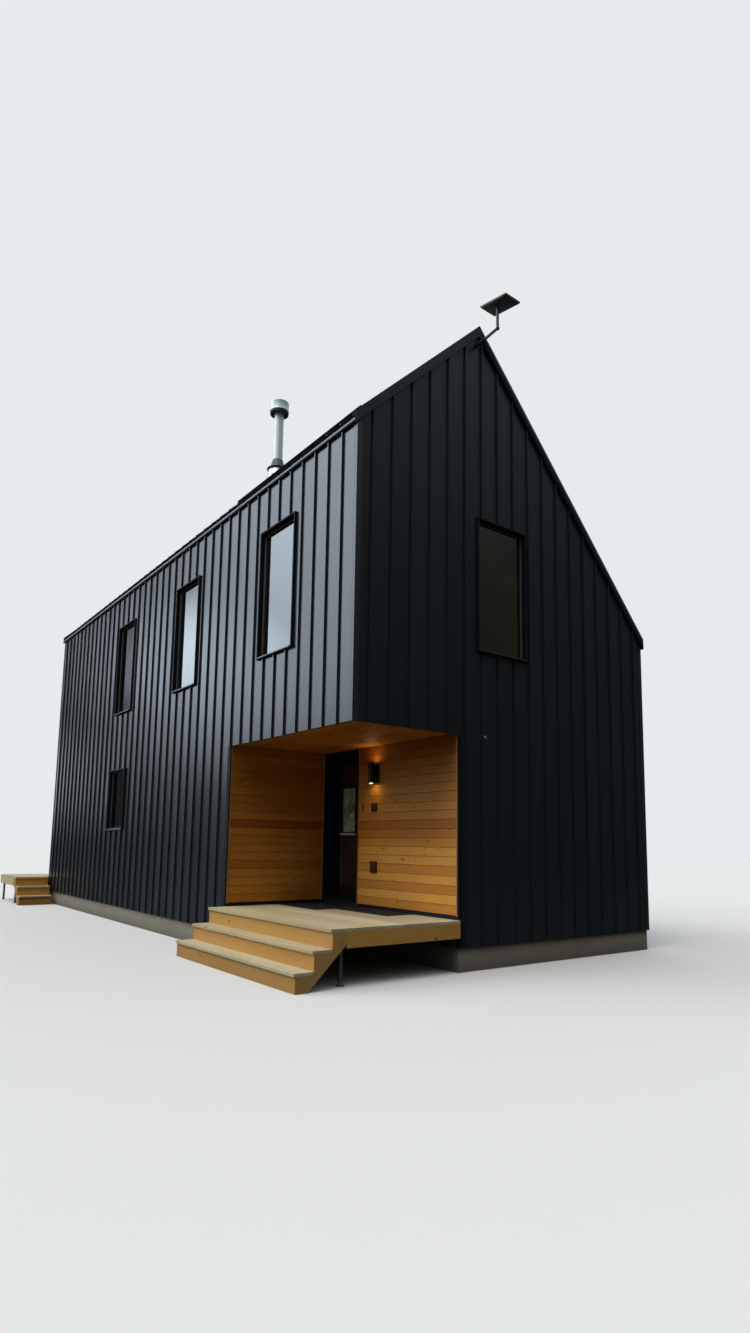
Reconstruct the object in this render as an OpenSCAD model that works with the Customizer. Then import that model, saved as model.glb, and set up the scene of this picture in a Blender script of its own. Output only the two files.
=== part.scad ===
/* [House] */
// Width of the gable, outside its cladding
house_w = 5620; // [5400:10:5900]
// Length of the long walls, outside their cladding
house_l = 12800; // [12600:50:13600]
// Ridge line, measured from the long wall with the porch
ridge_x = 1990; // [1900:10:2200]
// Height of the roof at the ridge
ridge_h = 8575; // [8500:5:8700]
// Height of the roof at the porch-side eave
left_eave_h = 6610; // [6560:5:6680]
// Height of the roof at the low eave
right_eave_h = 4830; // [4780:5:4900]
// Height of the foundation above ground, where the walls begin
wall_base = 290; // [250:5:340]
// Thickness of the timber-framed walls
frame_t = 175; // [150:5:190]
// Thickness of the metal cladding and of the porch boarding
skin_t = 20; // [16:1:24]
// Thickness of the foundation walls
found_t = 230; // [200:10:260]
// Distance of the foundation's face behind the cladding
found_inset = 25; // [10:1:40]

/* [Roof] */
// Thickness of the whole roof, square to its slope
roof_t = 300; // [260:10:340]
// Thickness of the roof metal with its battens
roof_skin_t = 25; // [20:1:30]
// Distance that the roof metal runs past the long walls
eave_over = 34; // [33:1:60]
// Height of the trim under the edge of the eaves
eave_face_h = 50; // [40:1:70]
// Height of the gable trim below the roof surface
rake_drop = 72; // [60:1:90]
// Height of the gable trim above the roof surface
rake_rise = 38; // [34:1:50]
// Distance that the gable trim stands out from the cladding
rake_out = 38; // [34:1:50]
// Width of the gable trim on top of the roof
rake_cover = 75; // [50:1:120]
// Half of the slot that is left open under the ridge cap
ridge_slot = 45; // [40:1:60]
// Length of each wing of the ridge cap
cap_wing = 170; // [140:5:220]
// Clearance between folded trims and what they cover
trim_play = 0.3; // [0.2:0.1:0.5]

/* [Standing seams] */
// Distance between two seams
seam_pitch = 305; // [290:1:320]
// Height of a seam above the metal
seam_h = 25; // [20:1:32]
// Width of a seam
seam_w = 14; // [10:1:20]
// First seam of the long walls and the roof, from the front gable
side_first_seam = 300; // [260:1:320]
// First seam of the gables, from the porch-side corner
gable_first_seam = 218; // [200:1:240]

/* [Porch] */
// Width of the porch recess along the gable
porch_w = 1635; // [1560:5:1700]
// Depth of the porch recess along the long wall
porch_d = 3041; // [2980:1:3100]
// Height of the porch ceiling above ground
porch_top = 2920; // [2900:5:2960]
// Distance that the cladding hangs below the porch ceiling
porch_lip = 15; // [10:1:25]
// Height of the boarding's lower edge above the deck
board_foot = 50; // [30:1:70]

/* [Floors] */
// Height of the ground floor
floor_h = 705; // [690:5:720]
// Thickness of the upper floor
upper_floor_t = 300; // [250:10:320]

/* [Windows] */
// Width of an upper window
upper_win_w = 940; // [900:10:980]
// Height of an upper window
upper_win_h = 1838; // [1780:1:1880]
// Distance of the upper windows' heads below the porch-side eave
upper_head_drop = 748; // [720:2:800]
// First upper window, from the front gable
upper_first_y = 1822; // [1780:1:1860]
// Distance between two upper windows
upper_win_pitch = 3036; // [3000:1:3060]
// Width of a lower window
lower_win_w = 910; // [880:10:950]
// Height of a lower window
lower_win_h = 1200; // [1150:10:1250]
// Height of the lower windows' sills
lower_sill_h = 1712; // [1680:1:1740]
// Lower window of the porch-side wall, from the front gable
lower_win_y = 7990; // [7900:10:8100]
// Window of the gables, from the porch-side corner
gable_win_x = 2425; // [2400:5:2450]
// First window of the low long wall, from the front gable
right_first_y = 2400; // [2200:50:2600]
// Distance between two windows of the low long wall
right_win_pitch = 3950; // [3800:50:4000]
// Width of a window's outer frame
win_frame_w = 50; // [40:1:60]
// Width of a window's sash inside its frame
win_sash_w = 36; // [30:1:45]
// Distance that a window frame stands out from the cladding
win_out = 36; // [33:1:50]
// Depth of a window frame behind the cladding's face
win_in = 130; // [110:5:150]
// Depth of the glass behind the cladding's face
glass_in = 78; // [70:1:90]
// Thickness of a glass unit
glass_t = 24; // [18:1:30]

/* [Entry door] */
// Width of the door leaf
door_w = 810; // [780:5:830]
// Height of the door leaf
door_h = 2080; // [2040:5:2085]
// Thickness of the door leaf
door_t = 45; // [40:1:50]
// Width of the jamb on the lock side
lock_jamb_w = 36; // [30:1:45]
// Width of the jamb on the hinge side, up to the corner
hinge_jamb_w = 80; // [70:1:90]
// Height of the threshold
threshold_h = 20; // [15:1:25]
// Gap between the leaf and its frame
door_gap = 6; // [5:0.5:8]
// Height of the wall over the door frame
door_header_h = 40; // [30:5:50]
// Width of the pane in the leaf
lite_w = 310; // [280:5:340]
// Height of the pane in the leaf
lite_h = 670; // [640:5:700]
// Height of the pane's lower edge above the leaf's foot
lite_z = 969; // [940:1:1000]
// Radius of a hinge knuckle
knuckle_r = 9; // [8:0.5:10]
// Radius of a hinge pin
pin_r = 5; // [4:0.5:6]
// Running clearance round a hinge pin
pin_play = 0.3; // [0.2:0.05:0.5]
// Height of the lock and its handle above the leaf's foot
handle_z = 950; // [900:10:1000]

/* [Deck and stairs] */
// Height of the decks
deck_top = 627; // [600:3:650]
// Thickness of the deck boards and treads
board_t = 38; // [32:1:42]
// Height of the deck's joists and rim
rim_h = 175; // [150:1:190]
// Thickness of joists, rims and stringers
joist_t = 38; // [34:1:45]
// Distance of the deck's front face before the gable
deck_front = 42; // [38:1:60]
// Number of risers of a stair
riser_n = 3; // [3:1:3]
// Depth of a step
going = 225; // [210:5:250]
// Overhang of a tread past its riser
nosing = 20; // [15:1:25]
// Thickness of a riser board
riser_t = 25; // [19:1:28]
// Distance that the first step's nosing stands out from the long wall
step_out = 245; // [235:5:260]
// Length of a stringer's foot on the ground
stringer_foot = 128; // [110:2:160]
// Angle of a stringer's lower edge
stringer_pitch = 43.7; // [41:0.1:46]
// Radius of a round post under a deck
post_r = 25; // [20:1:40]
// Distance of the entry deck's posts from its front and back edge
post_in = 149; // [120:1:400]
// Distance of the rear deck's posts from its edges
rear_post_in = 80; // [60:5:200]
// Bays between the entry deck's joists
deck_bays = 4; // [3:1:5]
// Bays between the rear deck's joists, past the stair
rear_bays = 4; // [3:1:5]
// Distance of the rear deck past the porch-side wall
rear_out = 780; // [740:10:840]
// Distance of the rear deck along the back wall
rear_in = 2220; // [2000:20:2400]
// Depth of the rear deck
rear_depth = 1500; // [1300:20:1700]
// Distance of the rear stair from the porch-side wall
rear_stair_gap = 60; // [50:1:80]

/* [Flue] */
// Centre of the flue, from the porch-side wall and the front gable
flue_at = [1438, 4559];
// Height of the top of the flue cap
flue_top = 9542; // [9400:10:9700]
// Radius of the flue pipe
flue_r = 83; // [70:1:95]
// Radius of the flue cap
flue_cap_r = 172; // [150:1:190]
// Clearance round the pipe in its flashing
flue_play = 0.3; // [0.2:0.1:0.5]
// Clearance round the pipe in the roof
flue_gap = 25; // [20:1:40]
// Width of the flashing's base plate, along the eave
flashing_w = 440; // [400:10:460]
// Length of the flashing's base plate, up the slope
flashing_l = 620; // [600:10:680]
// Radius of the flashing's boot at its foot
boot_foot_r = 185; // [170:1:195]
// Radius of the flashing's boot at its top
boot_r = 160; // [140:1:170]
// Height of the boot above the roof at the pipe
boot_h = 205; // [180:5:230]
// Radius of the storm collar's brim
brim_r = 190; // [180:1:200]
// Radius of the storm collar's cone at its foot
collar_r = 145; // [130:1:160]
// Height of the storm collar's cone
collar_h = 195; // [170:5:220]

/* [Antenna] */
// Foot of the mast on the gable, from the porch-side corner and above ground
mast_foot = [1989, 8370];
// Elbow of the mast
mast_elbow = [2275, 8685];
// Distance of the mast before the gable
mast_out = 102; // [95:1:130]
// Radius of the mast
mast_r = 20; // [15:1:25]
// Radius of the clamp at the mast's elbow
mast_clamp_r = 28; // [26:1:34]
// Height of the mast's top
mast_top = 9045; // [9000:5:9100]
// Width of the flat panel, along the gable
panel_w = 300; // [270:10:330]
// Length of the flat panel, along the ridge
panel_l = 500; // [450:10:550]
// Thickness of the flat panel
panel_t = 36; // [25:1:45]
// Tilt of the flat panel
panel_tilt = 11; // [5:1:20]
// Distance of the panel's middle past the mast
panel_shift = 50; // [0:5:80]

/* [Hidden] */

$fn = 48;
cut = 50;
wall_t = skin_t + frame_t;
black_metal = [0.09, 0.10, 0.11];
honey_wood = [0.78, 0.49, 0.22];
deck_wood = [0.80, 0.64, 0.40];
concrete = [0.60, 0.58, 0.55];
timber = [0.72, 0.60, 0.44];
steel = [0.66, 0.67, 0.68];

// Slopes of the roof and the height of a layer of it, d below the surface
left_pitch = atan((ridge_h - left_eave_h) / ridge_x);
right_pitch = atan((ridge_h - right_eave_h) / (house_w - ridge_x));
function left_z(x, d) = left_eave_h + x * tan(left_pitch) - d / cos(left_pitch);
function right_z(x, d) = right_eave_h + (house_w - x) * tan(right_pitch) - d / cos(right_pitch);
function crest_x(d) = (right_eave_h - left_eave_h + house_w * tan(right_pitch)
    + d * (1 / cos(left_pitch) - 1 / cos(right_pitch))) / (tan(left_pitch) + tan(right_pitch));
function crest(d) = [crest_x(d), left_z(crest_x(d), d)];
function gable_outline(x0, x1, base, d) =
    [[x0, base], [x0, left_z(x0, d)], crest(d), [x1, right_z(x1, d)], [x1, base]];
function roof_band(x0, x1, d0, d1) =
    [[x0, left_z(x0, d0)], crest(d0), [x1, right_z(x1, d0)],
     [x1, right_z(x1, d1)], crest(d1), [x0, left_z(x0, d1)]];

// Plan lines of the porch walls, behind their boarding
porch_x1 = porch_w + skin_t;
porch_x2 = porch_x1 + frame_t;
porch_y1 = porch_d + skin_t;
porch_y2 = porch_y1 + frame_t;
upper_floor_z = porch_top + skin_t;

// Seams stand one pitch apart and keep clear of the far corner
seam_margin = 60;
function seam_rows(first, last) = [for (s = [first : seam_pitch : last - seam_margin]) s];
side_seams = seam_rows(side_first_seam, house_l);
gable_seams = seam_rows(gable_first_seam, house_w);
wall_top_left = left_z(-eave_over, roof_skin_t) - eave_face_h;
wall_top_right = right_z(house_w + eave_over, roof_skin_t) - eave_face_h;

// Windows as centre along the wall, sill, width and height
upper_sill_h = left_eave_h - upper_head_drop - upper_win_h;
left_windows = concat(
    [for (i = [0 : 2]) [upper_first_y + i * upper_win_pitch, upper_sill_h, upper_win_w, upper_win_h]],
    [[lower_win_y, lower_sill_h, lower_win_w, lower_win_h]]);
front_windows = [[gable_win_x, upper_sill_h, upper_win_w, upper_win_h]];
right_windows = [for (i = [0 : 2])
    [right_first_y + i * right_win_pitch, lower_sill_h, lower_win_w, lower_win_h]];
back_win_x = 4200;
back_windows = [[gable_win_x, upper_sill_h, upper_win_w, upper_win_h],
    [back_win_x, lower_sill_h, lower_win_w, lower_win_h]];

// The entry door stands in the porch side wall, hinged at the corner
frame_y1 = porch_y1;
leaf_y1 = frame_y1 - hinge_jamb_w - door_gap;
leaf_y0 = leaf_y1 - door_w;
frame_y0 = leaf_y0 - door_gap - lock_jamb_w;
leaf_x1 = porch_x2;
leaf_x0 = leaf_x1 - door_t;
leaf_z0 = floor_h + threshold_h + door_gap;
leaf_z1 = leaf_z0 + door_h;
door_frame_top = upper_floor_z - door_header_h;
leaf_mid_y = (leaf_y0 + leaf_y1) / 2;
pin_x = leaf_x1 + knuckle_r + 1;
pin_y = leaf_y1 + door_gap / 2;
hinge_at = [leaf_z0 + 180, leaf_z0 + door_h / 2, leaf_z0 + door_h - 270];
hinge_h = 90;
hinge_fixed_h = 30;
hinge_leaf_t = 2.5;
hinge_leaf_w = 32;

// Back door, closed and fixed, over the rear deck
back_door_x = 1100;
back_door_w = 940;
back_door_h = 2150;
back_door_z = floor_h;

// Decks and stairs
rise = deck_top / riser_n;
rim_top = deck_top - board_t;
rim_foot = rim_top - rim_h;
deck_far = porch_d - 8;
deck_notch = 60;
deck_edge = porch_w - 5;
rear_y = house_l + seam_h;
rear_stair_w = rear_out - rear_stair_gap;
post_plate = 8;

// Flue, its height above the roof surface and the parts of its flashing
flue_roof_z = left_z(flue_at[0], 0);
flue_cap_h = 225;
flashing_t = 5;
boot_t = 4;
brim_t = 8;

// Overall box on plan, for an origin at the middle of the footprint
panel_reach = panel_l / 2 * cos(panel_tilt) + panel_t / 2 * sin(panel_tilt);
plan_x = [min(-rear_out, -step_out - going * (riser_n - 1)), house_w + eave_over];
plan_y = [-mast_out - panel_reach, rear_y + rear_depth];
origin_x = (plan_x[0] + plan_x[1]) / 2;
origin_y = (plan_y[0] + plan_y[1]) / 2;

// Everything is drawn from the porch-side front corner at ground level
module placed(c) {
    color(c) translate([-origin_x, -origin_y, 0]) children();
}

module box(x, y, z) {
    translate([x[0], y[0], z[0]]) cube([x[1] - x[0], y[1] - y[0], z[1] - z[0]]);
}

// Outline in X and Z, carried along Y
module across(y0, y1) {
    translate([0, y1, 0]) rotate([90, 0, 0]) linear_extrude(height = y1 - y0) children();
}

// Outline in Y and Z, carried along X
module along(x0, x1) {
    translate([x0, 0, 0]) rotate([90, 0, 90]) linear_extrude(height = x1 - x0) children();
}

// Windows face out through each wall; their own Y runs into the house
module left_openings() {
    for (w = left_windows) {
        $win_w = w[2];
        $win_h = w[3];
        translate([0, w[0], w[1]]) rotate([0, 0, -90]) children();
    }
}
module front_openings() {
    for (w = front_windows) {
        $win_w = w[2];
        $win_h = w[3];
        translate([w[0], 0, w[1]]) children();
    }
}
module right_openings() {
    for (w = right_windows) {
        $win_w = w[2];
        $win_h = w[3];
        translate([house_w, w[0], w[1]]) rotate([0, 0, 90]) children();
    }
}
module back_openings() {
    for (w = back_windows) {
        $win_w = w[2];
        $win_h = w[3];
        translate([w[0], house_l, w[1]]) rotate([0, 0, 180]) children();
    }
}
module all_openings() {
    left_openings() children();
    front_openings() children();
    right_openings() children();
    back_openings() children();
}
module window_hole() {
    box([-$win_w / 2, $win_w / 2], [-cut, wall_t + cut], [0, $win_h]);
}
module window_ring(inset, w, y) {
    difference() {
        box([-$win_w / 2 + inset, $win_w / 2 - inset], y, [inset, $win_h - inset]);
        box([-$win_w / 2 + inset + w, $win_w / 2 - inset - w], [y[0] - cut, y[1] + cut],
            [inset + w, $win_h - inset - w]);
    }
}
module back_door_hole() {
    box([back_door_x - back_door_w / 2, back_door_x + back_door_w / 2],
        [house_l - wall_t - cut, house_l + cut], [back_door_z, back_door_z + back_door_h]);
}

module foundation() {
    f0 = found_inset;
    x1 = house_w - found_inset;
    y1 = house_l - found_inset;
    px = porch_x1 + 5;
    py = porch_y1 + 5;
    t = found_t;
    placed(concrete) linear_extrude(height = wall_base) difference() {
        polygon([[px, f0], [x1, f0], [x1, y1], [f0, y1], [f0, py], [px, py]]);
        polygon([[px + t, f0 + t], [x1 - t, f0 + t], [x1 - t, y1 - t], [f0 + t, y1 - t],
            [f0 + t, py + t], [px + t, py + t]]);
    }
}

module ground_floor() {
    x1 = house_w - wall_t;
    y1 = house_l - wall_t;
    placed(timber) translate([0, 0, wall_base]) linear_extrude(height = floor_h - wall_base)
        polygon([[porch_x2, wall_t], [x1, wall_t], [x1, y1], [wall_t, y1],
            [wall_t, porch_y2], [porch_x2, porch_y2]]);
}

module upper_floor() {
    placed(timber) box([wall_t, house_w - wall_t], [wall_t, house_l - wall_t],
        [upper_floor_z, upper_floor_z + upper_floor_t]);
}

// Walls stop under the roof and stand on the foundation
module left_wall() {
    placed(timber) difference() {
        intersection() {
            across(skin_t, house_l - skin_t)
                polygon([[skin_t, wall_base], [wall_t, wall_base],
                    [wall_t, left_z(wall_t, roof_t)], [skin_t, left_z(skin_t, roof_t)]]);
            along(0, wall_t + cut)
                polygon([[skin_t, upper_floor_z], [porch_y1, upper_floor_z], [porch_y1, wall_base],
                    [house_l, wall_base], [house_l, ridge_h], [skin_t, ridge_h]]);
        }
        left_openings() window_hole();
    }
}

module right_wall() {
    placed(timber) difference() {
        across(skin_t, house_l - skin_t)
            polygon([[house_w - wall_t, wall_base], [house_w - skin_t, wall_base],
                [house_w - skin_t, right_z(house_w - skin_t, roof_t)],
                [house_w - wall_t, right_z(house_w - wall_t, roof_t)]]);
        right_openings() window_hole();
    }
}

module front_wall() {
    placed(timber) difference() {
        across(skin_t, wall_t) polygon(gable_outline(wall_t, house_w - wall_t, wall_base, roof_t));
        box([0, porch_x1], [0, wall_t + cut], [0, upper_floor_z]);
        front_openings() window_hole();
    }
}

module back_wall() {
    placed(timber) difference() {
        across(house_l - wall_t, house_l - skin_t)
            polygon(gable_outline(wall_t, house_w - wall_t, wall_base, roof_t));
        back_openings() window_hole();
        back_door_hole();
    }
}

module porch_back_wall() {
    placed(timber) box([wall_t, porch_x2], [porch_y1, porch_y2], [wall_base, upper_floor_z]);
}

module porch_side_wall() {
    placed(timber) along(porch_x1, porch_x2)
        polygon([[wall_t, wall_base], [porch_y1, wall_base], [porch_y1, floor_h], [frame_y0, floor_h],
            [frame_y0, upper_floor_z], [wall_t, upper_floor_z]]);
}

module porch_door_header() {
    placed(timber) box([porch_x1, porch_x2], [frame_y0, frame_y1], [door_frame_top, upper_floor_z]);
}

module porch_ceiling() {
    placed(honey_wood) box([skin_t, porch_w], [skin_t, porch_d], [porch_top, upper_floor_z]);
}

module porch_wall_boards() {
    z = [deck_top + board_foot, porch_top];
    placed(honey_wood) {
        box([skin_t, porch_w], [porch_d, porch_y1], z);
        box([porch_w, porch_x1], [skin_t, frame_y0], z);
    }
}

// Plan outline of a clad wall: a flat sheet with a rib at each seam
function ribbed(first, last, rows) = concat([[first, skin_t], [first, 0]],
    [for (s = rows) each [[s - seam_w / 2, 0], [s - seam_w / 2, -seam_h],
        [s + seam_w / 2, -seam_h], [s + seam_w / 2, 0]]],
    [[last, 0], [last, skin_t]]);

module left_cladding() {
    placed(black_metal) difference() {
        translate([0, 0, wall_base]) linear_extrude(height = wall_top_left - wall_base)
            polygon([for (p = ribbed(0, house_l, side_seams)) [p[1], p[0]]]);
        box([-cut, skin_t + cut], [-cut, porch_d], [0, porch_top - porch_lip]);
        box([-cut, 0], [-cut, porch_d + trim_leg], [0, porch_top - porch_lip]);
        left_openings() window_hole();
    }
}

module right_cladding() {
    placed(black_metal) difference() {
        translate([0, 0, wall_base]) linear_extrude(height = wall_top_right - wall_base)
            polygon([for (p = ribbed(0, house_l, side_seams)) [house_w - p[1], p[0]]]);
        right_openings() window_hole();
    }
}

module gable_cladding(rows) {
    intersection() {
        translate([0, 0, wall_base]) linear_extrude(height = ridge_h - wall_base)
            polygon(ribbed(skin_t, house_w - skin_t, rows));
        across(-seam_h - cut, skin_t + cut)
            polygon(gable_outline(0, house_w, wall_base, rake_drop + trim_play));
    }
}

module front_cladding() {
    placed(black_metal) difference() {
        gable_cladding(gable_seams);
        box([0, porch_w], [-cut, skin_t + cut], [0, porch_top - porch_lip]);
        front_openings() window_hole();
    }
}

module back_cladding() {
    placed(black_metal) difference() {
        translate([0, house_l, 0]) mirror([0, 1, 0]) gable_cladding(gable_seams);
        back_openings() window_hole();
        back_door_hole();
    }
}

module flue_hole() {
    translate([flue_at[0], flue_at[1], 0]) cylinder(r = flue_r + flue_gap, h = flue_top);
}

module roof_left() {
    placed(timber) difference() {
        across(skin_t, house_l - skin_t)
            polygon([[skin_t, left_z(skin_t, roof_skin_t)], crest(roof_skin_t), crest(roof_t),
                [skin_t, left_z(skin_t, roof_t)]]);
        flue_hole();
    }
}

module roof_right() {
    x1 = house_w - skin_t;
    placed(timber) across(skin_t, house_l - skin_t)
        polygon([[x1, right_z(x1, roof_skin_t)], crest(roof_skin_t), crest(roof_t),
            [x1, right_z(x1, roof_t)]]);
}

// One slope of standing-seam metal, drawn flat with X up the slope
module roof_sheet(length) {
    rotate([90, 0, 90]) linear_extrude(height = length)
        polygon([for (p = ribbed(skin_t + trim_play, house_l - skin_t - trim_play, side_seams))
            [p[0], p[1] > 0 ? -roof_skin_t : -p[1]]]);
}

// Plate square to the left slope at the flue, from d0 to d1 above the surface
module flue_plate(l, w, d0, d1) {
    translate([flue_at[0], flue_at[1], flue_roof_z]) rotate([0, -left_pitch, 0])
        box([-l / 2, l / 2], [-w / 2, w / 2], [d0, d1]);
}

module roof_metal_left() {
    placed(black_metal) difference() {
        translate([-eave_over, 0, left_z(-eave_over, 0)]) rotate([0, -left_pitch, 0])
            roof_sheet((ridge_x + eave_over) / cos(left_pitch) - ridge_slot);
        flue_plate(flashing_l, flashing_w, 0, seam_h + cut);
        flue_hole();
    }
}

module roof_metal_right() {
    placed(black_metal) translate([house_w + eave_over, 0, right_z(house_w + eave_over, 0)])
        mirror([1, 0, 0]) rotate([0, -right_pitch, 0])
            roof_sheet((house_w - ridge_x + eave_over) / cos(right_pitch) - ridge_slot);
}

module ridge_cap() {
    wing_l = cap_wing * cos(left_pitch);
    wing_r = cap_wing * cos(right_pitch);
    placed(black_metal) across(rake_cover, house_l - rake_cover)
        polygon(roof_band(ridge_x - wing_l, ridge_x + wing_r, -rake_rise, -seam_h - trim_play));
}

// Gable trim: a fascia before the gable and a cover on the roof's edge
module rake_trim() {
    x0 = -eave_over;
    x1 = house_w + eave_over;
    across(-rake_out, skin_t) polygon(roof_band(x0, x1, -rake_rise, rake_drop));
    across(-rake_out, rake_cover) polygon(roof_band(x0, x1, -rake_rise, -trim_play));
}

module rake_trims() {
    placed(black_metal) {
        rake_trim();
        translate([0, house_l, 0]) mirror([0, 1, 0]) rake_trim();
    }
}

module eave_trims() {
    x1 = house_w;
    placed(black_metal) {
        across(skin_t, house_l - skin_t)
            polygon([[-eave_over, wall_top_left], [skin_t, wall_top_left],
                [skin_t, left_z(skin_t, roof_skin_t)], [-eave_over, left_z(-eave_over, roof_skin_t)]]);
        across(skin_t, house_l - skin_t)
            polygon([[x1 + eave_over, wall_top_right], [x1 - skin_t, wall_top_right],
                [x1 - skin_t, right_z(x1 - skin_t, roof_skin_t)],
                [x1 + eave_over, right_z(x1 + eave_over, roof_skin_t)]]);
    }
}

// Folded angle on an outside corner, its legs running along +X and +Y
trim_t = 3;
trim_leg = 70;
trim_return = 40;
module corner_angle(leg_x, leg_y, z) {
    box([-trim_t, leg_x], [-trim_t, 0], z);
    box([-trim_t, 0], [-trim_t, leg_y], z);
}

module corner_trims() {
    head = porch_top - porch_lip;
    top_left = min(left_z(-trim_t, rake_drop), wall_top_left);
    top_right = min(right_z(house_w + trim_t, rake_drop), wall_top_right);
    placed(black_metal) {
        corner_angle(trim_leg, trim_leg, [head, top_left]);
        translate([0, house_l, 0]) mirror([0, 1, 0])
            corner_angle(trim_leg, trim_leg, [wall_base, top_left]);
        translate([house_w, 0, 0]) mirror([1, 0, 0])
            corner_angle(trim_leg, trim_leg, [wall_base, top_right]);
        translate([house_w, house_l, 0]) rotate([0, 0, 180])
            corner_angle(trim_leg, trim_leg, [wall_base, top_right]);
        translate([porch_w, 0, 0]) corner_angle(trim_leg, trim_return, [wall_base, head]);
        translate([0, porch_d, 0]) corner_angle(trim_return, trim_leg, [wall_base, head]);
    }
}

module window_frames() {
    placed(black_metal) all_openings() {
        window_ring(0, win_frame_w, [-win_out, win_in]);
        window_ring(win_frame_w, win_sash_w, [glass_in - 25, glass_in + glass_t + 15]);
        box([-$win_w / 2 + win_frame_w, $win_w / 2 - win_frame_w], [-win_out - 20, -win_out],
            [0, 22]);
    }
}

module window_glass() {
    edge = win_frame_w + win_sash_w;
    placed([0.3, 0.4, 0.45, 0.5]) all_openings()
        box([-$win_w / 2 + edge, $win_w / 2 - edge], [glass_in, glass_in + glass_t],
            [edge, $win_h - edge]);
}

module door_frame() {
    stop_x1 = leaf_x0 - door_gap;
    stop_w = 14;
    placed(black_metal) {
        difference() {
            box([porch_w, porch_x2], [frame_y0, frame_y1], [floor_h, door_frame_top]);
            box([porch_w - cut, porch_x2 + cut], [leaf_y0 - door_gap, leaf_y1 + door_gap],
                [floor_h + threshold_h, leaf_z1 + door_gap]);
        }
        difference() {
            box([stop_x1 - 12, stop_x1], [leaf_y0 - door_gap, leaf_y1 + door_gap],
                [floor_h + threshold_h, leaf_z1 + door_gap]);
            box([stop_x1 - cut, stop_x1 + cut],
                [leaf_y0 - door_gap + stop_w, leaf_y1 + door_gap - stop_w],
                [floor_h, leaf_z1 + door_gap - stop_w]);
        }
        for (z = hinge_at) hinge_fixed(z);
    }
}

// Frame half of a hinge: its plate, lower knuckle and the pin
module hinge_fixed(z) {
    translate([pin_x, pin_y, z]) {
        cylinder(r = knuckle_r, h = hinge_fixed_h);
        cylinder(r = pin_r, h = hinge_h);
        box([leaf_x1 - pin_x, leaf_x1 - pin_x + hinge_leaf_t], [0, hinge_leaf_w], [0, hinge_fixed_h]);
    }
}

// Leaf half of a hinge: its plate and the upper knuckle round the pin
module hinge_moving(z) {
    z0 = hinge_fixed_h + pin_play;
    translate([pin_x, pin_y, z]) difference() {
        union() {
            translate([0, 0, z0]) cylinder(r = knuckle_r, h = hinge_h - z0);
            box([leaf_x1 - pin_x, leaf_x1 - pin_x + hinge_leaf_t], [-hinge_leaf_w, 0], [z0, hinge_h]);
        }
        translate([0, 0, z0 - 1]) cylinder(r = pin_r + pin_play, h = hinge_h);
    }
}

module entry_door() {
    panel_wd = lite_w + 110;
    panel_z = [160, 900];
    placed(black_metal) {
        difference() {
            box([leaf_x0, leaf_x1], [leaf_y0, leaf_y1], [leaf_z0, leaf_z1]);
            box([leaf_x0 - cut, leaf_x1 + cut], [leaf_mid_y - lite_w / 2, leaf_mid_y + lite_w / 2],
                [leaf_z0 + lite_z, leaf_z0 + lite_z + lite_h]);
            box([leaf_x0 - cut, leaf_x0 + 9], [leaf_mid_y - panel_wd / 2, leaf_mid_y + panel_wd / 2],
                [leaf_z0 + panel_z[0], leaf_z0 + panel_z[1]]);
        }
        box([leaf_x0 - 32, leaf_x0], [leaf_mid_y - panel_wd / 2, leaf_mid_y + panel_wd / 2],
            [leaf_z0 + lite_z - 42, leaf_z0 + lite_z - 14]);
        for (z = hinge_at) hinge_moving(z);
    }
}

module door_glass() {
    placed([0.3, 0.4, 0.45, 0.5])
        box([leaf_x0 + 12, leaf_x1 - 12], [leaf_mid_y - lite_w / 2, leaf_mid_y + lite_w / 2],
            [leaf_z0 + lite_z, leaf_z0 + lite_z + lite_h]);
}

// Lever and lock rose on one side of the leaf, its own X pointing away from it
module lever_set() {
    rotate([0, 90, 0]) cylinder(r = 28, h = 8);
    rotate([0, 90, 0]) cylinder(r = 10, h = 50);
    along(50, 61) {
        circle(r = 11);
        translate([0, -9]) square([115, 18]);
    }
    translate([0, 0, 145]) rotate([0, 90, 0]) cylinder(r = 27, h = 14);
}

module door_handle() {
    y = leaf_y0 + 68;
    z = leaf_z0 + handle_z;
    placed(black_metal) {
        translate([leaf_x1, y, z]) lever_set();
        translate([leaf_x0, y, z]) mirror([1, 0, 0]) lever_set();
    }
}

module back_door() {
    x = [back_door_x - back_door_w / 2, back_door_x + back_door_w / 2];
    z = [back_door_z, back_door_z + back_door_h];
    placed(black_metal) {
        difference() {
            box(x, [house_l - wall_t, house_l + win_out], z);
            box(x + [60, -60], [house_l - wall_t - cut, house_l - 90], [z[0] + 30, z[1] - 60]);
            box(x + [60, -60], [house_l - 40, house_l + cut], [z[0] + 30, z[1] - 60]);
        }
    }
}

module deck_outline() {
    polygon([[-step_out, -deck_front], [deck_edge, -deck_front], [deck_edge, deck_notch],
        [porch_x1 - 5, deck_notch], [porch_x1 - 5, porch_y1 - 5], [deck_notch, porch_y1 - 5],
        [deck_notch, deck_far], [-step_out, deck_far]]);
}

module rear_outline() {
    polygon([[-rear_out, rear_y - step_out], [-rear_stair_gap, rear_y - step_out],
        [-rear_stair_gap, rear_y], [rear_in, rear_y], [rear_in, rear_y + rear_depth],
        [-rear_out, rear_y + rear_depth]]);
}

module deck_boards() {
    placed(deck_wood) translate([0, 0, rim_top]) linear_extrude(height = board_t) {
        deck_outline();
        rear_outline();
    }
}

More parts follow.
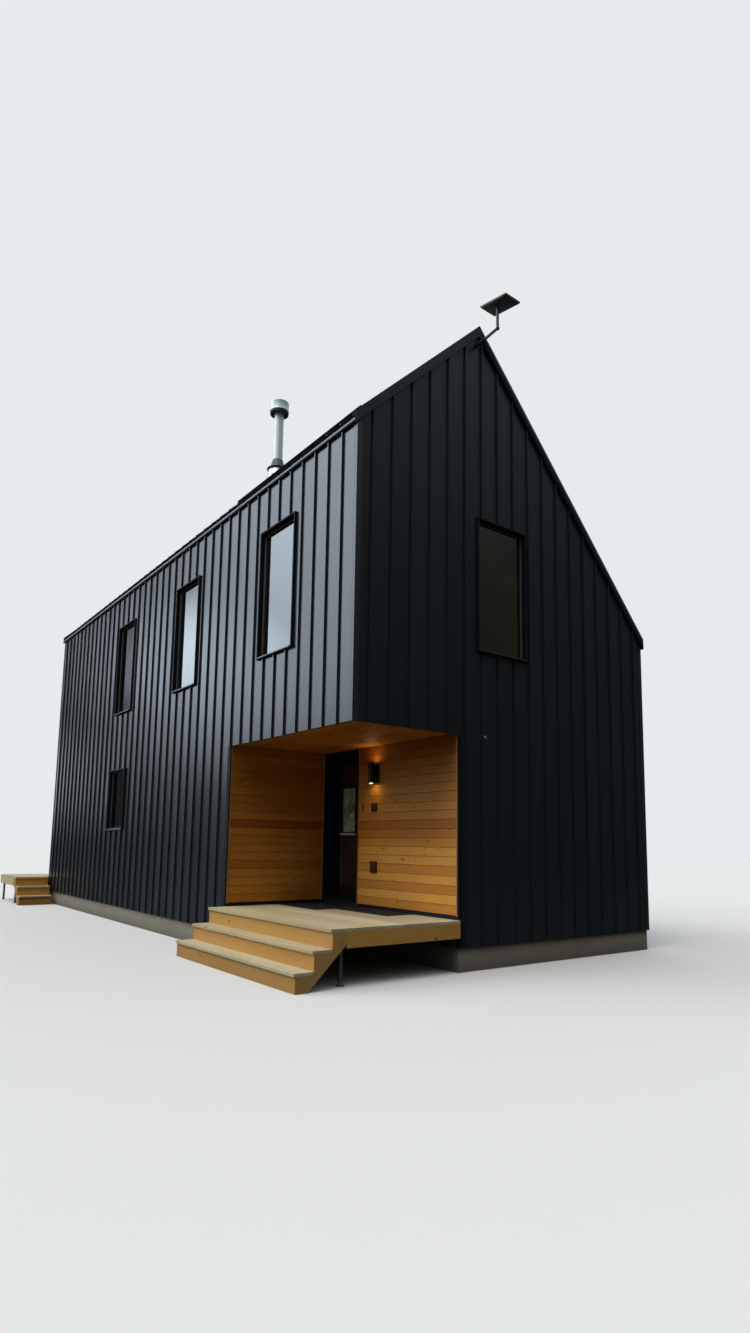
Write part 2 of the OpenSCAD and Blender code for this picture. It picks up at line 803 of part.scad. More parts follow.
module deck_frame() {
    z = [rim_foot, rim_top];
    joists = [for (i = [0 : deck_bays]) -joist_t / 2 + deck_edge * i / deck_bays];
    rear_first = -rear_stair_gap - joist_t / 2;
    rear_step = (rear_in - joist_t / 2 - rear_first) / rear_bays;
    rear_joists = concat([-rear_out + joist_t / 2], [for (i = [0 : rear_bays]) rear_first + rear_step * i]);
    placed(deck_wood) {
        box([-joist_t, deck_edge], [-deck_front, -deck_front + joist_t], z);
        box([deck_notch, deck_edge], [porch_y1 - joist_t, porch_y1], z);
        for (x = joists)
            box([x - joist_t / 2, x + joist_t / 2],
                [-deck_front, x < deck_notch ? deck_far : porch_y1], z);
        box([-rear_out, rear_in], [rear_y, rear_y + joist_t], z);
        box([-rear_out, rear_in], [rear_y + rear_depth - joist_t, rear_y + rear_depth], z);
        for (x = rear_joists)
            box([x - joist_t / 2, x + joist_t / 2], [rear_y, rear_y + rear_depth], z);
    }
}

module post(x, y) {
    translate([x, y, 0]) cylinder(r = post_r, h = rim_foot - post_plate);
    translate([x, y, 0]) cylinder(r = 2 * post_r, h = post_plate);
    box([x - 2 * post_r, x + 2 * post_r], [y - 2 * post_r, y + 2 * post_r],
        [rim_foot - post_plate, rim_foot]);
}

module deck_posts() {
    placed(steel) {
        for (y = [post_in - deck_front, deck_far - post_in]) post(-joist_t / 2, y);
        for (x = [-rear_out + rear_post_in, (rear_in - rear_out) / 2, rear_in - rear_post_in])
            post(x, rear_y + rear_depth - rear_post_in);
        post(-rear_out + rear_post_in, rear_y + rear_post_in);
    }
}

// Stairs go down towards their own -X from the line where the stringers end
module treads(width) {
    for (i = [1 : riser_n - 1])
        box([-step_out - going * i, -step_out + nosing - going * (i - 1)], [0, width],
            [deck_top - rise * i - board_t, deck_top - rise * i]);
}

module risers(width) {
    for (i = [0 : riser_n - 1]) {
        face = -step_out + nosing - going * i;
        foot = i == riser_n - 1 ? 0 : deck_top - rise * (i + 1) - board_t;
        box([face, face + riser_t], [0, width], [foot, deck_top - rise * i - board_t]);
    }
}

module stringers(width, back_x) {
    back = [for (i = [0 : riser_n - 1]) -step_out + nosing + riser_t - going * i];
    level = [for (i = [0 : riser_n - 1]) deck_top - rise * i - board_t];
    foot_x = back[riser_n - 1] + stringer_foot;
    bays = max(1, round((width - joist_t) / 1000));
    saw = [for (i = [0 : riser_n - 1]) each [[back[i], level[i]],
        [back[i], i == riser_n - 1 ? 0 : level[i + 1]]]];
    for (b = [0 : bays])
        across(b * (width - joist_t) / bays, b * (width - joist_t) / bays + joist_t)
            polygon(concat([[back_x, rim_top]], saw,
                [[foot_x, 0], [back_x, (back_x - foot_x) * tan(stringer_pitch)]]));
}

module entry_stair() {
    $width = deck_far + deck_front;
    translate([0, -deck_front, 0]) children();
}

module rear_stair() {
    $width = rear_stair_w;
    translate([-rear_stair_gap, rear_y, 0]) rotate([0, 0, 90]) children();
}

module stair_treads() {
    placed(deck_wood) {
        entry_stair() treads($width);
        rear_stair() treads($width);
    }
}

module stair_risers() {
    placed(deck_wood) {
        entry_stair() risers($width);
        rear_stair() risers($width);
    }
}

module stair_stringers() {
    placed(deck_wood) {
        entry_stair() stringers($width, -joist_t);
        rear_stair() stringers($width, 0);
    }
}

// A mat before the door and a runner beside it
mat_t = 12;
mat_gap = 35;
door_mat_w = 750;
door_mat_l = 1000;
runner_w = 430;
runner_l = 1140;
module door_mats() {
    x1 = porch_w - mat_gap;
    y1 = porch_d - 1.5 * mat_gap;
    y2 = y1 - door_mat_l - 0.5 * mat_gap;
    z = [deck_top, deck_top + mat_t];
    placed([0.12, 0.13, 0.15]) {
        box([x1 - door_mat_w, x1], [y1 - door_mat_l, y1], z);
        box([x1 - runner_w, x1], [y2 - runner_l, y2], z);
    }
}

module flue_pipe() {
    foot = left_z(flue_at[0], roof_t) - flue_r;
    placed(steel) translate([flue_at[0], flue_at[1], foot]) difference() {
        cylinder(r = flue_r, h = flue_top - flue_cap_h / 2 - foot);
        translate([0, 0, -cut]) cylinder(r = flue_r - 10, h = flue_top);
    }
}

// Hollow cone that stands on the slope, its radius less by inset
module flue_boot(inset, foot) {
    translate([flue_at[0], flue_at[1], flue_roof_z - foot])
        cylinder(r1 = boot_foot_r - inset, r2 = boot_r - inset, h = foot + boot_h);
}

// Base plate on the roof, a boot round the pipe and a storm collar over it
module flue_flashing() {
    foot = boot_foot_r * 1.1;
    placed(steel) difference() {
        union() {
            flue_plate(flashing_l - 1, flashing_w - 1, trim_play, flashing_t);
            difference() {
                flue_boot(0, foot);
                flue_plate(2 * flashing_l, 2 * flashing_w, -2 * flashing_l, flashing_t / 2);
            }
            translate([flue_at[0], flue_at[1], flue_roof_z + boot_h]) {
                cylinder(r = brim_r, h = brim_t);
                cylinder(r1 = collar_r, r2 = flue_r + 4, h = collar_h);
            }
        }
        flue_boot(boot_t, 2 * foot);
        translate([flue_at[0], flue_at[1], flue_roof_z]) cylinder(r = flue_r + flue_play, h = 3 * boot_h);
    }
}

module flue_cap() {
    placed(steel) translate([flue_at[0], flue_at[1], flue_top - flue_cap_h]) difference() {
        union() {
            cylinder(r = flue_cap_r, h = flue_cap_h - 40);
            translate([0, 0, flue_cap_h - 40]) cylinder(r1 = flue_cap_r, r2 = flue_r, h = 40);
        }
        translate([0, 0, -1]) cylinder(r = flue_cap_r - 8, h = 60);
        translate([0, 0, -1]) cylinder(r = flue_r, h = flue_cap_h / 2 + 1);
    }
}

// Mast on a wall bracket: a sloping rod, a clamp and an upright rod
module antenna_mast() {
    lean = atan2(mast_elbow[0] - mast_foot[0], mast_elbow[1] - mast_foot[1]);
    placed(steel) {
        translate([mast_foot[0], 0, mast_foot[1]]) {
            box([-40, 40], [-6, 0], [-60, 60]);
            box([-20, 20], [-mast_out - 26, -3], [-22, 22]);
        }
        translate([mast_foot[0], -mast_out, mast_foot[1]]) rotate([0, lean, 0])
            cylinder(r = mast_r, h = norm(mast_elbow - mast_foot));
        translate([mast_elbow[0], -mast_out, mast_elbow[1]]) {
            sphere(r = mast_clamp_r);
            cylinder(r = mast_r, h = mast_top - mast_elbow[1]);
        }
    }
}

// The panel's underside rests on the rim of the mast's top
panel_z = mast_top + panel_t / 2 / cos(panel_tilt) + mast_r * tan(panel_tilt) + trim_play;
module antenna_panel() {
    placed([0.62, 0.63, 0.65])
        translate([mast_elbow[0] + panel_shift, -mast_out, panel_z]) rotate([panel_tilt, 0, 0])
            box([-panel_w / 2, panel_w / 2], [-panel_l / 2, panel_l / 2], [-panel_t / 2, panel_t / 2]);
}

// Light on the porch side wall
light_y = 1693;
light_z = [2380, 2679];
light_r = 46;
light_out = 98;
light_plate = [68, 134];
light_plate_t = 20;
module wall_light() {
    mid = (light_z[0] + light_z[1]) / 2;
    placed(black_metal) {
        translate([porch_w - light_out, light_y, light_z[0]])
            cylinder(r = light_r, h = light_z[1] - light_z[0]);
        box([porch_w - light_out, porch_w], [light_y - light_r / 2, light_y + light_r / 2],
            [mid - light_r, mid + light_r]);
        box([porch_w - light_plate_t, porch_w], [light_y - light_plate[0], light_y + light_plate[0]],
            [mid - light_plate[1], mid + light_plate[1]]);
    }
}

// Switch cover, bell and socket cover beside the door, and a small round fitting on the gable
switch_y = [1663, 1795];
switch_z = [1989, 2106];
bell_y = [1979, 2020];
bell_z = [2004, 2106];
socket_y = [1652, 1795];
socket_z = [1127, 1290];
gable_eye = [2082, 2911];
eye_r = 22;
eye_foot_r = 25;
eye_out = 34;
fitting_t = 22;
module wall_fittings() {
    placed(black_metal) {
        box([porch_w - fitting_t, porch_w], switch_y, switch_z);
        box([porch_w - fitting_t, porch_w], bell_y, bell_z);
        box([porch_w - fitting_t - 8, porch_w], socket_y, socket_z);
        translate([gable_eye[0], 0, gable_eye[1]]) rotate([90, 0, 0])
            cylinder(r1 = eye_foot_r, r2 = eye_r, h = eye_out);
    }
}

// Bar across the seams near the porch-side eave, held by a clamp on each seam
guard_up = 210;
guard_first = rake_cover + 5;
guard_l = 3240;
module snow_guard() {
    placed(black_metal) translate([-eave_over, 0, left_z(-eave_over, 0)])
        rotate([0, -left_pitch, 0]) {
            box([guard_up, guard_up + 30], [guard_first, guard_first + guard_l],
                [seam_h, seam_h + 30]);
            for (s = side_seams) {
                if (s > guard_first && s < guard_first + guard_l)
                    difference() {
                        box([guard_up - 10, guard_up + 40], [s - 20, s + 20], [6, seam_h + 8]);
                        box([guard_up - cut, guard_up + 90], [s - seam_w / 2, s + seam_w / 2],
                            [0, seam_h]);
                    }
            }
        }
}

foundation();
ground_floor();
upper_floor();
left_wall();
front_wall();
right_wall();
back_wall();
porch_back_wall();
porch_side_wall();
porch_door_header();
porch_ceiling();
porch_wall_boards();
left_cladding();
front_cladding();
right_cladding();
back_cladding();
roof_left();
roof_right();
roof_metal_left();
roof_metal_right();
ridge_cap();
rake_trims();
eave_trims();
corner_trims();
window_frames();
window_glass();
door_frame();
entry_door();
door_glass();
door_handle();
back_door();
deck_boards();
deck_frame();
deck_posts();
stair_treads();
stair_risers();
stair_stringers();
door_mats();
flue_pipe();
flue_flashing();
flue_cap();
antenna_mast();
antenna_panel();
wall_light();
wall_fittings();
snow_guard();
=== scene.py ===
"""Looks of a black steel-clad cabin with a timber-lined corner porch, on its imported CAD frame."""
import math
import random

import bmesh
import bpy
from mathutils import Matrix, Vector


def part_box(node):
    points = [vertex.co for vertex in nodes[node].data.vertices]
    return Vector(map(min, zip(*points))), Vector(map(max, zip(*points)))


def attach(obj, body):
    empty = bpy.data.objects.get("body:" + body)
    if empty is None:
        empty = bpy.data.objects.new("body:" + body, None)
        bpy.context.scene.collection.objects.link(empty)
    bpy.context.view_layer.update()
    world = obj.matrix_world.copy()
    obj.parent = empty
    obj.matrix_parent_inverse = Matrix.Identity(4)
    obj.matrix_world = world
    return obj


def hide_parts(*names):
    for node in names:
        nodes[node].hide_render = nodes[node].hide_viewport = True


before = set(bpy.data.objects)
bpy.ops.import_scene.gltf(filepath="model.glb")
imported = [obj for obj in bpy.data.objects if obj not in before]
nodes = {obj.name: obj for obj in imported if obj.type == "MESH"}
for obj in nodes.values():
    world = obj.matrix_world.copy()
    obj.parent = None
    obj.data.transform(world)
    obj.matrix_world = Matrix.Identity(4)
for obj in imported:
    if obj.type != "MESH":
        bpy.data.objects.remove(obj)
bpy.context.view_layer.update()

# Sizes of the house in metres, from the porch-side front corner at ground level
HOUSE_W, HOUSE_L = 5.620, 12.800
RIDGE_X, RIDGE_H = 1.990, 8.575
EAVE_LEFT, EAVE_RIGHT = 6.610, 4.830
EAVE_OVER, EAVE_FACE = 0.034, 0.050
SKIN = 0.020
WALL_BASE = 0.290
SEAM_PITCH, SEAM_H = 0.305, 0.025
SIDE_SEAM, GABLE_SEAM = 0.300, 0.218
PORCH_W, PORCH_D, PORCH_TOP = 1.635, 3.041, 2.920
DECK_TOP, BOARD_T = 0.627, 0.038
DOOR_FRAME_Y = 2.122
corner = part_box("left_cladding")[0] + Vector((SEAM_H, 0, -WALL_BASE))
left_pitch = math.atan((RIDGE_H - EAVE_LEFT) / RIDGE_X)
right_pitch = math.atan((RIDGE_H - EAVE_RIGHT) / (HOUSE_W - RIDGE_X))
EAVE_FOOT = [eave - EAVE_OVER * math.tan(pitch) - SEAM_H / math.cos(pitch) - EAVE_FACE
             for eave, pitch in ((EAVE_LEFT, left_pitch), (EAVE_RIGHT, right_pitch))]


def at(x, y, z):
    """A point of the house as a point of the row frame."""
    return corner + Vector((x, y, z))


def srgb(r, g, b):
    """A colour as it is written in 8-bit sRGB, in linear light."""
    def linear(c):
        c /= 255
        return c / 12.92 if c <= 0.04045 else ((c + 0.055) / 1.055) ** 2.4
    return (linear(r), linear(g), linear(b), 1)


def scaled(color, share):
    """A lighter or darker shade of a colour."""
    return tuple(min(1.0, c * share) for c in color[:3]) + (1,)


# Node trees and finishes
class Value:
    """An output of a node, on which sums are written as on a number."""

    def __init__(self, tree, socket):
        self.tree, self.socket = tree, socket

    def __add__(self, other):
        return self.tree.calc("ADD", self, other)

    def __sub__(self, other):
        return self.tree.calc("SUBTRACT", self, other)

    def __mul__(self, other):
        return self.tree.calc("MULTIPLY", self, other)

    def __truediv__(self, other):
        return self.tree.calc("DIVIDE", self, other)


class Tree:
    """A node tree with short calls for its nodes; an input takes a number, a socket or a Value."""

    def __init__(self, tree):
        self.tree = tree

    def node(self, kind, inputs=None, **settings):
        made = self.tree.nodes.new(kind)
        for key, value in settings.items():
            setattr(made, key, value)
        for key, value in (inputs or {}).items():
            self.put(value, made.inputs[key])
        return made

    def out(self, kind, inputs=None, key=0, **settings):
        return Value(self, self.node(kind, inputs, **settings).outputs[key])

    def put(self, value, socket):
        value = getattr(value, "socket", value)
        if isinstance(value, bpy.types.NodeSocket):
            self.tree.links.new(value, socket)
        else:
            socket.default_value = value

    def calc(self, operation, a, b=0.0):
        return self.out("ShaderNodeMath", {0: a, 1: b}, operation=operation)

    def span(self, value, low, high, to_low=0.0, to_high=1.0):
        return self.out("ShaderNodeMapRange", {0: value, 1: low, 2: high, 3: to_low, 4: to_high},
                        interpolation_type="SMOOTHSTEP")

    def blend(self, share, a, b, mode="MIX"):
        return self.out("ShaderNodeMix", {0: share, 6: a, 7: b}, 2, data_type="RGBA", blend_type=mode)


SHADER = {"color": "Base Color", "metallic": "Metallic", "roughness": "Roughness", "ior": "IOR",
          "specular": "Specular IOR Level", "transmission": "Transmission Weight",
          "glow": "Emission Color", "glow_strength": "Emission Strength"}


class Finish(Tree):
    """A material with short calls for its pattern nodes."""

    def __init__(self, name, **shader):
        self.material = bpy.data.materials.new(name)
        self.material.use_nodes = True
        super().__init__(self.material.node_tree)
        self.shader = self.tree.nodes["Principled BSDF"]
        self.set(**shader)
        self.place = self.out("ShaderNodeTexCoord", key="Object")

    def set(self, **shader):
        for key, value in shader.items():
            self.put(value, self.shader.inputs[SHADER[key]])

    def parts(self, vector=None):
        made = self.node("ShaderNodeSeparateXYZ", {0: vector or self.place})
        return [Value(self, socket) for socket in made.outputs]

    def join(self, x, y, z=0.0):
        return self.out("ShaderNodeCombineXYZ", {0: x, 1: y, 2: z})

    def stretch(self, x, y, z):
        return self.out("ShaderNodeMapping", {"Vector": self.place, "Scale": (x, y, z)})

    def noise(self, vector, scale, detail=2.0, roughness=0.5, distortion=0.0):
        return self.out("ShaderNodeTexNoise", {
            "Vector": vector, "Scale": scale, "Detail": detail, "Roughness": roughness,
            "Distortion": distortion})

    def relief(self, height, distance, strength=1.0, under=None):
        inputs = {"Height": height, "Distance": distance, "Strength": strength}
        if under:
            inputs["Normal"] = under
        made = self.out("ShaderNodeBump", inputs)
        self.put(made, self.shader.inputs["Normal"])
        return made


def wood_finish(name, grain, pale, deep, dark, knots=1.0, roughness=0.55, contrast=1.0, shades=0.5,
                painted_shade=None):
    """Softwood boards with their grain along axis 0, 1 or 2; each board has its own shade.

    The last argument is (low, high, share at low, share at high) over height: painted shade that
    darkens the boards, standing in for the shade under the porch roof.
    """
    f = Finish(name, roughness=roughness, specular=0.2)
    plank = f.out("ShaderNodeAttribute", key="Fac", attribute_name="plank")
    axes = f.parts()
    one, other = (axes[i] for i in range(3) if i != grain)
    u, v = axes[grain] + plank * 23.0, one + other + plank * 7.7
    # Knots, and grain that flows round them
    cells = f.node("ShaderNodeTexVoronoi", {"Vector": f.join(u * 2.3, v * 4.6), "Scale": 1.0},
                   voronoi_dimensions="2D").outputs
    size = f.span(f.parts(cells["Color"])[0], 0.48, 1.0, -0.01, 0.062)
    away = Value(f, cells["Distance"]) - size
    knot = f.span(away, -0.004, 0.012, 1.0, 0.0)
    halo = f.span(away, 0.0, 0.13, 1.0, 0.0) * f.span(size, 0.0, 0.02)
    flow = f.noise(f.join(u * 0.55, v * 9.0, plank * 40.0), 1.0, 1.5, 0.45)
    late = f.span(f.calc("PINGPONG", (flow + halo * 0.10) * 26.0, 0.5), 0.18, 0.5)
    fibre = f.noise(f.join(u * 3.0, v * 260.0), 1.0, 3.0, 0.6)
    cloud = f.noise(f.join(u * 0.8, v * 3.0, plank), 1.0, 2.0)
    tone = f.blend(f.span(plank * shades + cloud * 0.5, 0.15, 1.0), pale, deep)
    tone = f.blend(late * (0.42 * contrast), tone, f.blend(1.0, tone, deep, "MULTIPLY"))
    tone = f.blend(f.span(fibre, 0.35, 0.75) * (0.22 * contrast), tone, deep)
    tone = f.blend(halo * (0.25 * knots), tone, deep)
    tone = f.blend(knot * (0.9 * knots), tone, dark)
    # Painted shade: the tone is multiplied towards a deep brown over height, the shade under the porch
    # roof
    if painted_shade:
        tone = f.blend(f.span(axes[2], *painted_shade), tone,
                       f.blend(1.0, tone, (0.41, 0.325, 0.215, 1), "MULTIPLY"))
    f.set(color=tone, roughness=f.span(late, 0.0, 1.0, roughness, roughness - 0.12))
    f.relief(late * 0.5 + fibre * 0.5, 0.0008, 0.6)
    return f.material


def sheet_finish(name, run, first, base, roughness, waves=0.008, seam_side_shade=None, **shader):
    """Painted steel sheet; run is the axis across its panels and first its first seam.

    Waves is how far the sheet buckles.
    The seam argument is (axis, middle, half, shade): the seams' sides, proud of the panels, are
    darkened to that share of the colour as painted shade.
    """
    f = Finish(name, roughness=roughness, **shader)
    axes = f.parts()
    if run is None:
        own = f.noise(f.place, 0.6, 1.0)
    else:
        own = f.out("ShaderNodeTexWhiteNoise", {"W": f.calc("FLOOR", (axes[run] - first) / SEAM_PITCH)},
                    noise_dimensions="1D")
    sweep = f.noise(f.stretch(2.2, 2.2, 0.30), 1.0, 2.0)
    streak = f.noise(f.stretch(26.0, 26.0, 0.5), 1.0, 3.0, 0.6)
    dust = f.span(axes[2], 0.25, 1.5, 1.0, 0.0) * f.span(streak, 0.3, 0.8, 0.2, 0.9)
    tone = f.blend(own, base, scaled(base, 1.22))
    tone = f.blend(f.span(sweep, 0.3, 0.8) * 0.25, tone, scaled(base, 1.5))
    tone = f.blend(dust * 0.10, tone, srgb(120, 114, 104))
    rough = f.span(own * 0.4 + streak * 0.6, 0.1, 0.9, roughness - 0.03, roughness + 0.05) + dust * 0.10
    # Painted shade on the sides of the seams
    if seam_side_shade:
        axis, middle, half, shade = seam_side_shade
        proud = f.calc("ABSOLUTE", axes[axis] - middle) - half
        side = f.span(proud, 0.0010, 0.0020) * f.span(proud, 0.0220, 0.0235, 1.0, 0.0)
        tone = f.blend(side, tone, scaled(base, shade))
        rough = rough + side * 0.45
    f.set(color=tone, roughness=rough)
    buckle = f.noise(f.stretch(3.4, 3.4, 1.1), 1.0, 1.0)
    orange_peel = f.noise(f.place, 900.0, 1.0)
    f.relief(orange_peel, 0.00012, 0.35, f.relief(buckle, waves, 0.55))
    return f.material


def rake_finish():
    """Folded gable trim; on the far slope's trim the upper fold has painted highlight over painted
    shade on the lower one, and the trim's ends at the left eave have painted shade.
    """
    f = Finish("rake_steel", specular=0.35)
    axes = f.parts()
    x, z = axes[0] - (corner.x + RIDGE_X), axes[2] - corner.z
    depth = f.calc("SUBTRACT", RIDGE_H, z + x * math.tan(right_pitch))
    far = f.span(x, 0.02, 0.04)
    upper = far * f.span(depth, -0.004, 0.004, 1.0, 0.0)
    end = f.span(x, -RIDGE_X - 0.026, -RIDGE_X - 0.028)
    rake_painted_shade = f.calc("MAXIMUM", far * f.span(depth, -0.004, 0.004), end)
    film = f.noise(f.place, 3.0, 4.0, 0.6)
    tone = f.blend(film, srgb(30, 33, 37), srgb(42, 45, 49))
    # Painted highlight on the far slope's upper fold; painted shade below it and at the left eave ends
    tone = f.blend(upper, tone, f.blend(film, srgb(70, 74, 78), srgb(92, 96, 100)))
    f.set(color=f.blend(rake_painted_shade, tone, srgb(8, 9, 10)),
          roughness=f.span(film, 0.3, 0.8, 0.38, 0.48) + rake_painted_shade * 0.45)
    f.relief(f.noise(f.place, 900.0, 1.0), 0.00012, 0.35)
    return f.material


def eave_finish():
    """Folded eave trim at both eaves: painted highlight along the top of its face, over painted shade
    on the rest.
    """
    f = Finish("eave_steel", specular=0.4)
    above = f.calc("MODULO", f.parts()[2] - (EAVE_FOOT[1] - 0.0005), EAVE_FOOT[0] - EAVE_FOOT[1])
    film = f.noise(f.place, 5.0, 3.0, 0.6)
    # Painted shade on the lowest 27 mm of the face, painted highlight above it
    eave_painted_highlight = f.span(above, 0.0265, 0.0290)
    f.set(color=f.blend(eave_painted_highlight, srgb(10, 11, 12), f.blend(film, srgb(128, 128, 130), srgb(168, 168, 170))),
          roughness=f.span(eave_painted_highlight, 0.0, 1.0, 0.9, 0.38))
    f.relief(f.noise(f.place, 900.0, 1.0), 0.00012, 0.35)
    return f.material


def bare_metal(name, color, roughness, brushed=(1, 1, 1), spread=0.12, metallic=1.0, soil=0.25):
    """Plain metal with fine scratches along one way and patches of a duller film."""
    f = Finish(name, metallic=metallic, roughness=roughness)
    film = f.noise(f.place, 6.0, 4.0, 0.6)
    lines = f.noise(f.stretch(*(b * 90.0 for b in brushed)), 1.0, 3.0, 0.6)
    f.set(color=f.blend(f.span(film, 0.35, 0.8) * soil, color, scaled(color, 0.45)),
          roughness=f.span(film * 0.5 + lines * 0.5, 0.25, 0.75, roughness - spread / 2,
                           roughness + spread))
    f.relief(lines, 0.0004, 0.25)
    return f.material


def plain_finish(name, color, roughness, grit=60.0, depth=0.0004, spread=0.2, **shader):
    """Moulded, painted or rubber surface with a fine texture and slight unevenness."""
    f = Finish(name, roughness=roughness, **shader)
    film = f.noise(f.place, 3.0, 4.0, 0.6)
    fine = f.noise(f.place, grit, 3.0, 0.6)
    f.set(color=f.blend(f.span(film, 0.3, 0.7), scaled(color, 1 - spread), scaled(color, 1 + spread)),
          roughness=f.span(fine, 0.3, 0.7, max(0.02, roughness - 0.06), roughness + 0.06))
    f.relief(fine, depth, 0.5)
    return f.material


def concrete_finish():
    """Cast concrete with pour marks, pits with painted shade, and darker towards the ground."""
    f = Finish("foundation_concrete", roughness=0.85, specular=0.3)
    broad = f.noise(f.stretch(0.9, 0.9, 2.4), 1.0, 4.0, 0.6)
    fine = f.noise(f.place, 55.0, 4.0, 0.65)
    pits = f.span(f.out("ShaderNodeTexVoronoi", {"Vector": f.place, "Scale": 38.0}, "Distance"),
                  0.05, 0.16, 1.0, 0.0)
    # Darker towards the ground
    darker_near_ground = f.span(f.parts()[2] + broad * -0.16, -0.08, 0.10, 1.0, 0.0)
    tone = f.blend(broad, srgb(134, 122, 102), srgb(182, 169, 144))
    tone = f.blend(f.span(fine, 0.3, 0.8) * 0.4, tone, srgb(112, 107, 99))
    tone = f.blend(darker_near_ground * 0.45, tone, srgb(84, 79, 72))
    # Painted shade in the pits
    f.set(color=f.blend(pits * 0.5, tone, srgb(78, 74, 68)))
    f.relief(fine - pits, 0.003, 0.6)
    return f.material


def glass_finish(name, ior, low, high, **shader):
    """Window glass with a faint film and the slight waves of a sealed unit; its colour is painted:
    mottled for the shade of the rooms behind it, with pale patches of painted reflection.
    """
    f = Finish(name, roughness=0.0, ior=ior, transmission=0.85, **shader)
    film = f.noise(f.place, 5.0, 3.0, 0.6)
    cloud = f.noise(f.stretch(1.6, 1.6, 3.2), 1.0, 4.0, 0.65, 0.6)
    tone = f.blend(f.span(cloud, 0.35, 0.62), low, high)
    # Pale patches: painted reflection
    f.set(color=f.blend(f.span(cloud, 0.66, 0.78), tone, srgb(190, 190, 184)),
          roughness=f.span(film, 0.3, 0.8, 0.0, 0.03))
    f.relief(f.noise(f.place, 2.2, 1.0), 0.003, 0.25)
    return f.material


def satin_glass_finish():
    """Satin glass of the door's lite: its mottled green-grey is painted reflection, with pale spots of
    painted glint.
    """
    f = Finish("door_lite_glass", roughness=0.16, specular=0.8)
    cloud = f.noise(f.stretch(1.0, 7.0, 4.5), 1.0, 4.0, 0.65)
    # Painted glints: pale spots on the lite
    painted_glint = f.span(f.noise(f.stretch(1.0, 11.0, 7.0), 1.0, 3.0, 0.6), 0.56, 0.72)
    tone = f.blend(f.span(cloud, 0.3, 0.7), srgb(94, 108, 82), srgb(168, 184, 160))
    f.set(color=f.blend(painted_glint, tone, srgb(232, 240, 228)))
    f.relief(f.noise(f.place, 160.0, 2.0), 0.0004, 0.3)
    return f.material


def mat_finish():
    """Ribbed mat rubber with its rows across the mat, painted shade in the grooves, and dirt trodden
    in.
    """
    color = srgb(30, 32, 38)
    f = Finish("mat_rubber", roughness=0.85, specular=0.3)
    row = f.calc("PINGPONG", f.parts()[1] / 0.022, 0.5)
    grit = f.noise(f.place, 240.0, 3.0, 0.7)
    dirt = f.noise(f.place, 5.0, 4.0, 0.6)
    # Painted shade: darker towards the low part of each rib
    tone = f.blend(f.span(row, 0.0, 0.5), scaled(color, 0.45), color)
    f.set(color=f.blend(f.span(dirt, 0.45, 0.85) * 0.3, tone, srgb(96, 88, 76)))
    f.relief(row + grit * 0.4, 0.002, 0.7)
    return f.material


def lens_finish():
    """Frosted lens of the porch light, lit from behind."""
    f = Finish("lamp_lens", roughness=0.4, glow=srgb(255, 218, 160), glow_strength=30.0)
    f.set(color=f.blend(f.noise(f.place, 90.0), srgb(255, 200, 130), srgb(255, 232, 190)))
    return f.material


# The finishes; a wood has a pale, a deep and a knot colour
HONEY_KNOT, PINE_KNOT = srgb(104, 52, 18), srgb(112, 76, 42)
HONEY = srgb(237, 171, 74), srgb(192, 114, 36), HONEY_KNOT
PINE = srgb(220, 202, 166), srgb(194, 168, 122), PINE_KNOT
black = srgb(33, 36, 40)
side_first, gable_first = corner.y + SIDE_SEAM, corner.x + GABLE_SEAM
# Painted shade on the seams' sides: nearly black on the long walls, a little darker on the gables
long_steel = sheet_finish("long_wall_steel", 1, side_first, black, 0.21, specular=0.7,
                          seam_side_shade=(0, corner.x + HOUSE_W / 2, HOUSE_W / 2, 0.2))
# The gables' steel is the same as the long walls', given a darker, bluer colour: painted shade
gable_steel = sheet_finish("gable_steel", 0, gable_first, srgb(26, 32, 40), 0.34, specular=0.4,
                           seam_side_shade=(1, corner.y + HOUSE_L / 2, HOUSE_L / 2, 0.75))
roof_steel = sheet_finish("roof_steel", 1, side_first, black, 0.34, specular=0.5)
trim_steel = sheet_finish("trim_steel", None, 0, srgb(35, 38, 42), 0.42, 0.004, specular=0.35)
rake_steel, eave_steel = rake_finish(), eave_finish()
corner_steel = sheet_finish("corner_steel", None, 0, black, 0.26, 0.004, specular=0.7)
# A pale grey copy of the black steel for the corner bead: painted highlight along the corner
bead_painted_highlight = sheet_finish("bead_painted_highlight", None, 0, srgb(112, 118, 124), 0.34, 0.004, metallic=0.5)
frame_paint = plain_finish("window_frame_paint", srgb(13, 14, 16), 0.62, 180.0, 0.0002,
                           specular=0.25)
sash_paint = plain_finish("window_sash_paint", srgb(20, 21, 24), 0.30, 180.0, 0.0002, specular=0.4)
bead_brown = plain_finish("glazing_bead", srgb(70, 63, 56), 0.45, 120.0, 0.0002)
# Pale sill steel: painted reflection of the sky, for the left wall's sills
sill_painted_reflection = plain_finish("window_sill_steel", srgb(86, 88, 94), 0.30, 60.0, 0.0002, 0.1,
                          specular=0.9)
fitting_black = plain_finish("fitting_black", srgb(20, 19, 19), 0.50, 300.0, 0.0003)
lever_black = plain_finish("door_lever_black", srgb(24, 24, 25), 0.32, 400.0, 0.0001)
cover_brown = plain_finish("cover_brown", srgb(66, 31, 16), 0.50, 220.0, 0.0002, specular=0.3)
bell_red = plain_finish("bell_sides", srgb(116, 44, 18), 0.45, 220.0, 0.0002)
bell_pale = plain_finish("bell_face", srgb(176, 124, 62), 0.5, 220.0, 0.0002)
door_paint = plain_finish("door_paint", srgb(21, 20, 21), 0.34, 90.0, 0.0003, specular=0.4)
panel_brown = plain_finish("door_panel_brown", srgb(48, 33, 26), 0.42, 140.0, 0.0003)
